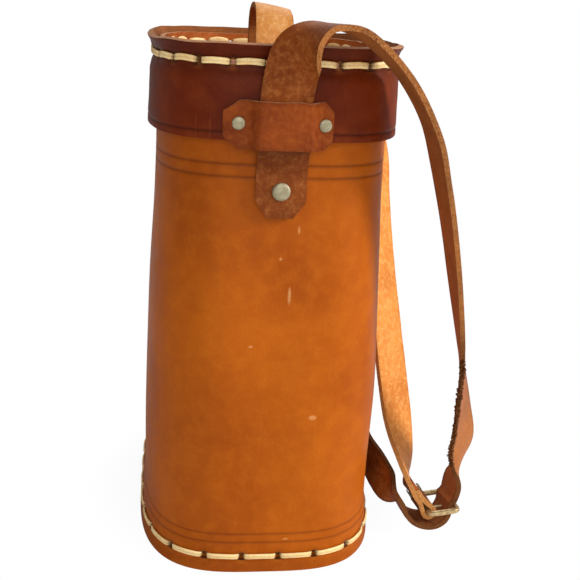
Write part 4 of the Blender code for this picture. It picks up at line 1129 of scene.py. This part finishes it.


# The front tab is painted darker all over, and more so higher up, as painted shadow under the keeper and the
# lid.
tab = band("front_strap_tab", even_course(front_tab, 2 * MM), tab_half, STRAP_THICK, STRAP_MATS,
           shade=lambda side, run: 0.2 + 0.3 * ease(0.015, 0.04, run))
crossing(tab, "body", "lid", (0, -0.095, 0.248), (0, -0.095, 0.268), "front_strap")
front_course = even_course(front_hang, 2 * MM)
# The hanging length carries painted light below the crossing.
hang = band("front_strap_length", front_course, tail_half, STRAP_THICK, STRAP_MATS, fray=frayed,
            shade=low_shade, glow=strap_painted_light)
add_fibres(hang, front_course)
crossing(hang, "lid", "shoulder_strap", (0.014, -0.1, 0.32), (0.058, -0.1, 0.32), "front_strap")


# ---- Rear strap --------------------------------------------------------------------------------------------
# The shorter length, riveted to the far end in the same way. It rolls over sideways above its keeper and
# hangs down the +X side, and its end is folded round the buckle's heel bar and riveted back on itself.

REAR_ROUTE = [((0, 96.9, 290), (1, 0, 0)), ((0.2, 98.6, 303), (1, 0, 0)),
              ((2.4, 103, 311.2), (.92, -.3, .25)), ((8, 110.5, 314.3), (.76, -.3, .57)),
              ((17, 114, 309.5), (.66, -.05, .75)),
              ((37, 113, 297), (.69, .12, .7)), ((61, 106, 282), (.74, .33, .5)),
              ((79.5, 91, 264), (.77, .5, .12)), ((89.5, 71, 239), (.76, .56, -.2)),
              ((90.6, 47, 206), (.68, .62, -.38)), ((90, 20, 165), (.76, .55, -.36)),
              ((93, -10, 112), (.82, .52, -.24)), ((98, -31, 68), (.78, .58, -.2)),
              ((101, -49.5, 43), (.45, .86, -.22))]
rear_tab = tab_stations(1)
fold_start, wrap_size = 8 * MM, BUCKLE_BAR + FIT + STRAP_THICK / 2
lead = math.asin(wrap_size / math.hypot(fold_start, LAYER / 2)) - math.atan2(LAYER / 2, fold_start)
rear_hang = [rear_tab[-1]] + in_metres(REAR_ROUTE)
rear_hang += [(at_fold(16 * MM, LAYER / 2), -ACROSS), (at_fold(8 * MM, LAYER / 2), -ACROSS)]
for i in range(9):
    a = lead - (math.pi + 2 * lead) * i / 8
    rear_hang.append((at_fold(wrap_size * math.sin(a), wrap_size * math.cos(a)), -ACROSS))
rear_hang += [(at_fold(8 * MM, -LAYER / 2), -ACROSS), (at_fold(17 * MM, -LAYER / 2), -ACROSS)]
tab = band("rear_strap_tab", even_course(rear_tab, 2 * MM), tab_half, STRAP_THICK, STRAP_MATS,
           shade=strap_shade)
crossing(tab, "body", "lid", (0, 0.095, 0.248), (0, 0.095, 0.268), "rear_strap")
# A paler copy of the strap leather, partly painted light for the key lamp on the rear strap; its edge is
# paler to match.
REAR_MATS = [leather("rear_strap_grain", (0.76, 0.29, 0.055), (0.56, 0.175, 0.026), (0.92, 0.52, 0.19),
                     grain=700, relief=0.8, blotch=30, gloss=(0.45, 0.62), fleck=0.3, streak=0.15),
             STRAP_FLESH,
             rough_leather("rear_strap_edge", (0.62, 0.25, 0.06), (0.34, 0.11, 0.02), (0.85, 0.48, 0.18),
                           fibre=1100)]
hang = band("rear_strap_length", even_course(rear_hang, 2 * MM), STRAP_HALF, STRAP_THICK, REAR_MATS,
            shade=strap_shade)
crossing(hang, "lid", "shoulder_strap", (0.016, 0.11, 0.31), (0.060, 0.11, 0.31), "rear_strap")
fold_out = (OUTWARD * -UP_ALONG + ALONG * UP_OUT).normalized()
rivet_pair("fold_rivet", fold_out, SMALL_HEAD, "shoulder_strap", 4.1 * MM, 0.7 * MM)


# ---- Keepers -----------------------------------------------------------------------------------------------
# A short strip with clipped corners is bowed over each strap and riveted to the skirt on both sides of it.
# The left end is longer than the right one.

KEEPER_THICK, KEEPER_HALF, KEEPER_Z = 2.5 * MM, 12.7 * MM, 275.2 * MM
KEEPER_MATS = [leather("keeper_grain", (0.27, 0.052, 0.005), (0.16, 0.026, 0.003), (0.48, 0.14, 0.025),
                       grain=900, relief=0.3, blotch=35, gloss=(0.4, 0.58), fleck=0.06, mottle=0.2),
               STRAP_FLESH, LID_EDGE]


def keeper(name, end, node_name):
    """The bowed strip, drawn along the skirt from its left end to its right one."""
    bow = [(19.5, 0.03), (17.2, 0.25), (15.2, 0.72), (13.6, 0.97), (11, 1.05), (6, 1.08)]
    stops = [(-33, 0, 0.56), (-30.5, 0, 0.69), (-28, 0, 0.82), (-24.6, 0, 1), (-23, 0, 1)]
    stops += [(-x, lift, 1) for x, lift in bow] + [(0, 1.1, 1)] + [(x, lift, 1) for x, lift in reversed(bow)]
    stops += [(21, 0, 1), (22.6, 0, 0.88), (24.3, 0, 0.75), (26, 0, 0.62)]
    fine = []
    for low, high in zip(stops, stops[1:]):
        fine += [tuple(a + (b - a) * k / 3 for a, b in zip(low, high)) for k in range(3)]
    fine.append(stops[-1])
    bm = bmesh.new()
    bmesh.ops.create_grid(bm, x_segments=len(fine) - 1, y_segments=9, size=1.0)
    place = {}
    off = FIT + KEEPER_THICK / 2
    proud = (LID_HALVES[1] + 2.2) * MM + off + STRAP_THICK + 3 * FIT
    for vert in bm.verts:
        x, lift, tall = fine[round((vert.co.x + 1) / 2 * (len(fine) - 1))]
        side = vert.co.y
        z = KEEPER_Z + side * (KEEPER_HALF * tall + wander(x * 0.12, side * 4, end) * 0.5 * MM)
        y = abs(lid_skin((x * MM / LID_LENGTH) % 1.0 + (0 if end < 0 else 0.5), z, off).y)
        vert.co = Vector((-end * x * MM, end * (y + (proud - y) * min(lift, 1.1)), z))
        place[vert] = (side, x * MM)
    obj = hide_piece(name, bm, place, KEEPER_THICK, KEEPER_MATS,
                     lambda side, x: 0.25 * max(abs(side) - 0.8, 0) / 0.2, None, 0.0)
    placed(obj, "lid", "strap_leather", node_name)


keeper("front_keeper_strip", -1, "front_keeper")
keeper("rear_keeper_strip", 1, "rear_keeper")
for side in ("left", "right"):
    rivet_pair(f"front_keeper_{side}_rivet", FRONT, SMALL_HEAD, "lid")
for side in ("left", "right"):
    rivet_pair(f"rear_keeper_{side}_rivet", REAR, SMALL_HEAD, "lid")


# ---- Handle ------------------------------------------------------------------------------------------------
# One strap stands on the lid's plate in a squared loop, and each end is turned out flat and riveted down.

# A paler copy of the strap leather, partly painted light for the lamp on the handle.
HANDLE_MATS = [leather("handle_grain", (0.76, 0.36, 0.105), (0.56, 0.21, 0.045), (0.90, 0.56, 0.26),
                       grain=700, relief=0.5, blotch=30, gloss=(0.45, 0.62), fleck=0.35),
               STRAP_FLESH, STRAP_EDGE]
HANDLE_HALF, HANDLE_THICK = 11 * MM, 3 * MM
foot_level = 300.8 * MM + FIT + HANDLE_THICK / 2
crown_level = 334.5 * MM - HANDLE_THICK / 2
LOOP_HIGH = 32.8
side_course = [(61.5, 0), (52, 0), (45, 0), (38, 0), (33.5, 0), (30.6, 1.2), (28.7, 3.4), (28, 6.2), (28, 11),
               (27.7, 16), (26.9, 20.2), (25.3, 23.8), (22.8, 26.8), (19.4, 29.2), (15, 31), (10, 32.1),
               (5, 32.6), (0, LOOP_HIGH)]
points = [Vector((0, -y * MM, foot_level + z * MM * (crown_level - foot_level) / (LOOP_HIGH * MM)))
          for y, z in side_course]
points += [Vector((0, -spot.y, spot.z)) for spot in reversed(points[:-1])]
tilted = [(spot, Vector((-1, 0, 0.16 * ease(325 * MM, 333 * MM, spot.z)))) for spot in points]


def handle_half(run, whole):
    """The riveted ends have rounded corners."""
    return HANDLE_HALF - 3 * MM * max(1 - min(run, whole - run) / (3 * MM), 0) ** 2


handle = band("handle_loop", even_course(tilted, 1.5 * MM), handle_half, HANDLE_THICK, HANDLE_MATS, 0.4 * MM,
              shade=strap_shade)
placed(handle, "lid", "strap_leather", "handle_strap")
rivet_pair("handle_front_rivet", SKY, SMALL_HEAD, "lid")
rivet_pair("handle_rear_rivet", SKY, SMALL_HEAD, "lid")


# ---- Buckle ------------------------------------------------------------------------------------------------
# A cast brass frame with rounded corners and a flat-faced bar, and a prong whose eye is closed round the
# heel bar. The prong crosses the frame on the outer side and rests on the far bar.

BUCKLE_BRASS = old_brass("buckle_brass", (0.62, 0.48, 0.25), (0.34, 0.22, 0.10), 0.34)
bm = bmesh.new()
corner = 3.6 * MM
ring = []
far, wide = BUCKLE_LENGTH - corner, BUCKLE_HALF - corner
for cx, cy, turn in ((far, wide, 0), (corner, wide, 90), (corner, -wide, 180), (far, -wide, 270)):
    for i in range(7):
        a = math.radians(turn + 15 * i)
        ring.append((cx + corner * math.cos(a), cy + corner * math.sin(a)))
fine_ring = []
for (x0, y0), (x1, y1) in zip(ring, ring[1:] + ring[:1]):
    steps = max(1, round(math.hypot(x1 - x0, y1 - y0) / (2.5 * MM)))
    for k in range(steps):
        fine_ring.append((x0 + (x1 - x0) * k / steps, y0 + (y1 - y0) * k / steps))
loops = []
for k, (x, y) in enumerate(fine_ring):
    (x1, y1), (x0, y0) = fine_ring[(k + 1) % len(fine_ring)], fine_ring[k - 1]
    course = (at_buckle(x1, 0, y1) - at_buckle(x0, 0, y0)).normalized()
    sideways = course.cross(OUTWARD).normalized()
    made = bmesh.ops.create_circle(bm, cap_ends=False, radius=1.0, segments=14)["verts"]
    for vert in made:
        size = BUCKLE_BAR / max(abs(vert.co.x), abs(vert.co.y)) ** 0.3
        vert.co = at_buckle(x, 0, y) + sideways * vert.co.x * size * 0.92 + OUTWARD * vert.co.y * size * 0.9
    loops.append(made)
for low, high in zip(loops, loops[1:] + loops[:1]):
    bmesh.ops.bridge_loops(bm, edges=ring_edges(low) + ring_edges(high))
bmesh.ops.recalc_face_normals(bm, faces=bm.faces[:])
buckle = settled(meshed("buckle_ring", bm, BUCKLE_BRASS), 50)
placed(buckle, "buckle", "antique_brass", "buckle_frame")

prong_eye = BUCKLE_BAR + FIT + 0.7 * MM
prong_route = []
for i in range(13):
    a = math.radians(-285 + 285 * i / 12)
    prong_route.append((at_buckle(prong_eye * math.sin(a), prong_eye * math.cos(a)), ACROSS))
prong_route += [(at_buckle(BUCKLE_LENGTH * f, prong_eye), ACROSS) for f in (0.35, 0.7, 1.0)]
prong_route.append((at_buckle(BUCKLE_LENGTH + 3 * MM, prong_eye - 0.3 * MM), ACROSS))
prong_line = [here for here, _ in even_course(prong_route, 1 * MM)]
bm = bmesh.new()
stations = []
for k, here in enumerate(prong_line):
    course = course_at(prong_line, k)
    side = square_to(ACROSS, course)
    part = k / (len(prong_line) - 1)
    stations.append((here, side, course.cross(side), (1.15 - 0.45 * ease(0.5, 1, part)) * MM, 0.68 * MM))
sweep(bm, stations, 12)
bmesh.ops.recalc_face_normals(bm, faces=bm.faces[:])
prong = settled(meshed("prong_bar", bm, BUCKLE_BRASS), 50)
placed(prong, "prong", "antique_brass", "buckle_prong")


# ---- Studio ------------------------------------------------------------------------------------------------
# A plain pale floor, a soft white room and three broad lamps: the key high on the right, a weak one
# straight in front, and one high behind. The floor and the room are white to the camera alone and light the
# bag less.

AIM = Vector((0.02, 0, 0.16))
ROOM_LIGHT = 0.36
FLOOR_DROP, FLOOR_HALF, FLOOR_FADE = 0.4 * MM, 4.0, 0.12


def plain_floor():
    """Paper that fades to white away from the bag, where the camera sees it."""
    mat, tree, shader, spot = new_material("floor_paper")
    shader.inputs["Base Color"].default_value = (0.86, 0.86, 0.855, 1)
    shader.inputs["Roughness"].default_value = 0.9
    far = node(tree, "VectorMath", {"operation": "LENGTH"}, at0=spot).outputs["Value"]
    ray = node(tree, "LightPath").outputs["Is Camera Ray"]
    fade = times(tree, ranged(tree, far, 0.0, FLOOR_FADE, 0.8, 1.0), ray)
    glow = node(tree, "Emission", Color=(1, 1, 1, 1), Strength=1.0).outputs[0]
    both = node(tree, "MixShader", at0=fade, at1=shader.outputs[0], at2=glow).outputs[0]
    tree.links.new(both, tree.nodes["Material Output"].inputs["Surface"])
    bm = bmesh.new()
    bmesh.ops.create_grid(bm, x_segments=1, y_segments=1, size=FLOOR_HALF)
    bmesh.ops.translate(bm, vec=(0, 0, -FLOOR_DROP), verts=bm.verts)
    meshed("floor", bm, mat)


def lamp(name, spot, size, power, colour):
    """A square lamp that faces the middle of the bag."""
    light = bpy.data.lights.new(name, "AREA")
    light.size = size
    light.energy = power
    light.color = colour
    obj = bpy.data.objects.new(name, light)
    obj.location = spot
    obj.rotation_mode = "QUATERNION"
    obj.rotation_quaternion = (AIM - Vector(spot)).to_track_quat("-Z", "Y")
    bpy.context.scene.collection.objects.link(obj)


plain_floor()
lamp("key", (1.45, -0.62, 0.95), 0.45, 27, (1.0, 0.98, 0.95))
lamp("fill", (-0.1, -1.45, 0.7), 0.9, 8, (1.0, 0.98, 0.96))
lamp("rim", (0.3, 1.0, 1.3), 1.0, 8, (1.0, 1.0, 1.0))
world = bpy.data.worlds.new("room")
bpy.context.scene.world = world
world.use_nodes = True
tree = world.node_tree
ray = node(tree, "LightPath")
seen = node(tree, "Math", {"operation": "MAXIMUM"}, at0=ray.outputs["Is Camera Ray"],
            at1=ray.outputs["Is Transmission Ray"])
dim = node(tree, "Background", Color=(1, 1, 1, 1), Strength=ROOM_LIGHT)
white = node(tree, "Background", Color=(1, 1, 1, 1), Strength=1.0)
both = node(tree, "MixShader", at0=seen.outputs[0], at1=dim.outputs[0], at2=white.outputs[0])
tree.links.new(both.outputs[0], tree.nodes["World Output"].inputs["Surface"])
bpy.context.scene.view_settings.view_transform = "Standard"
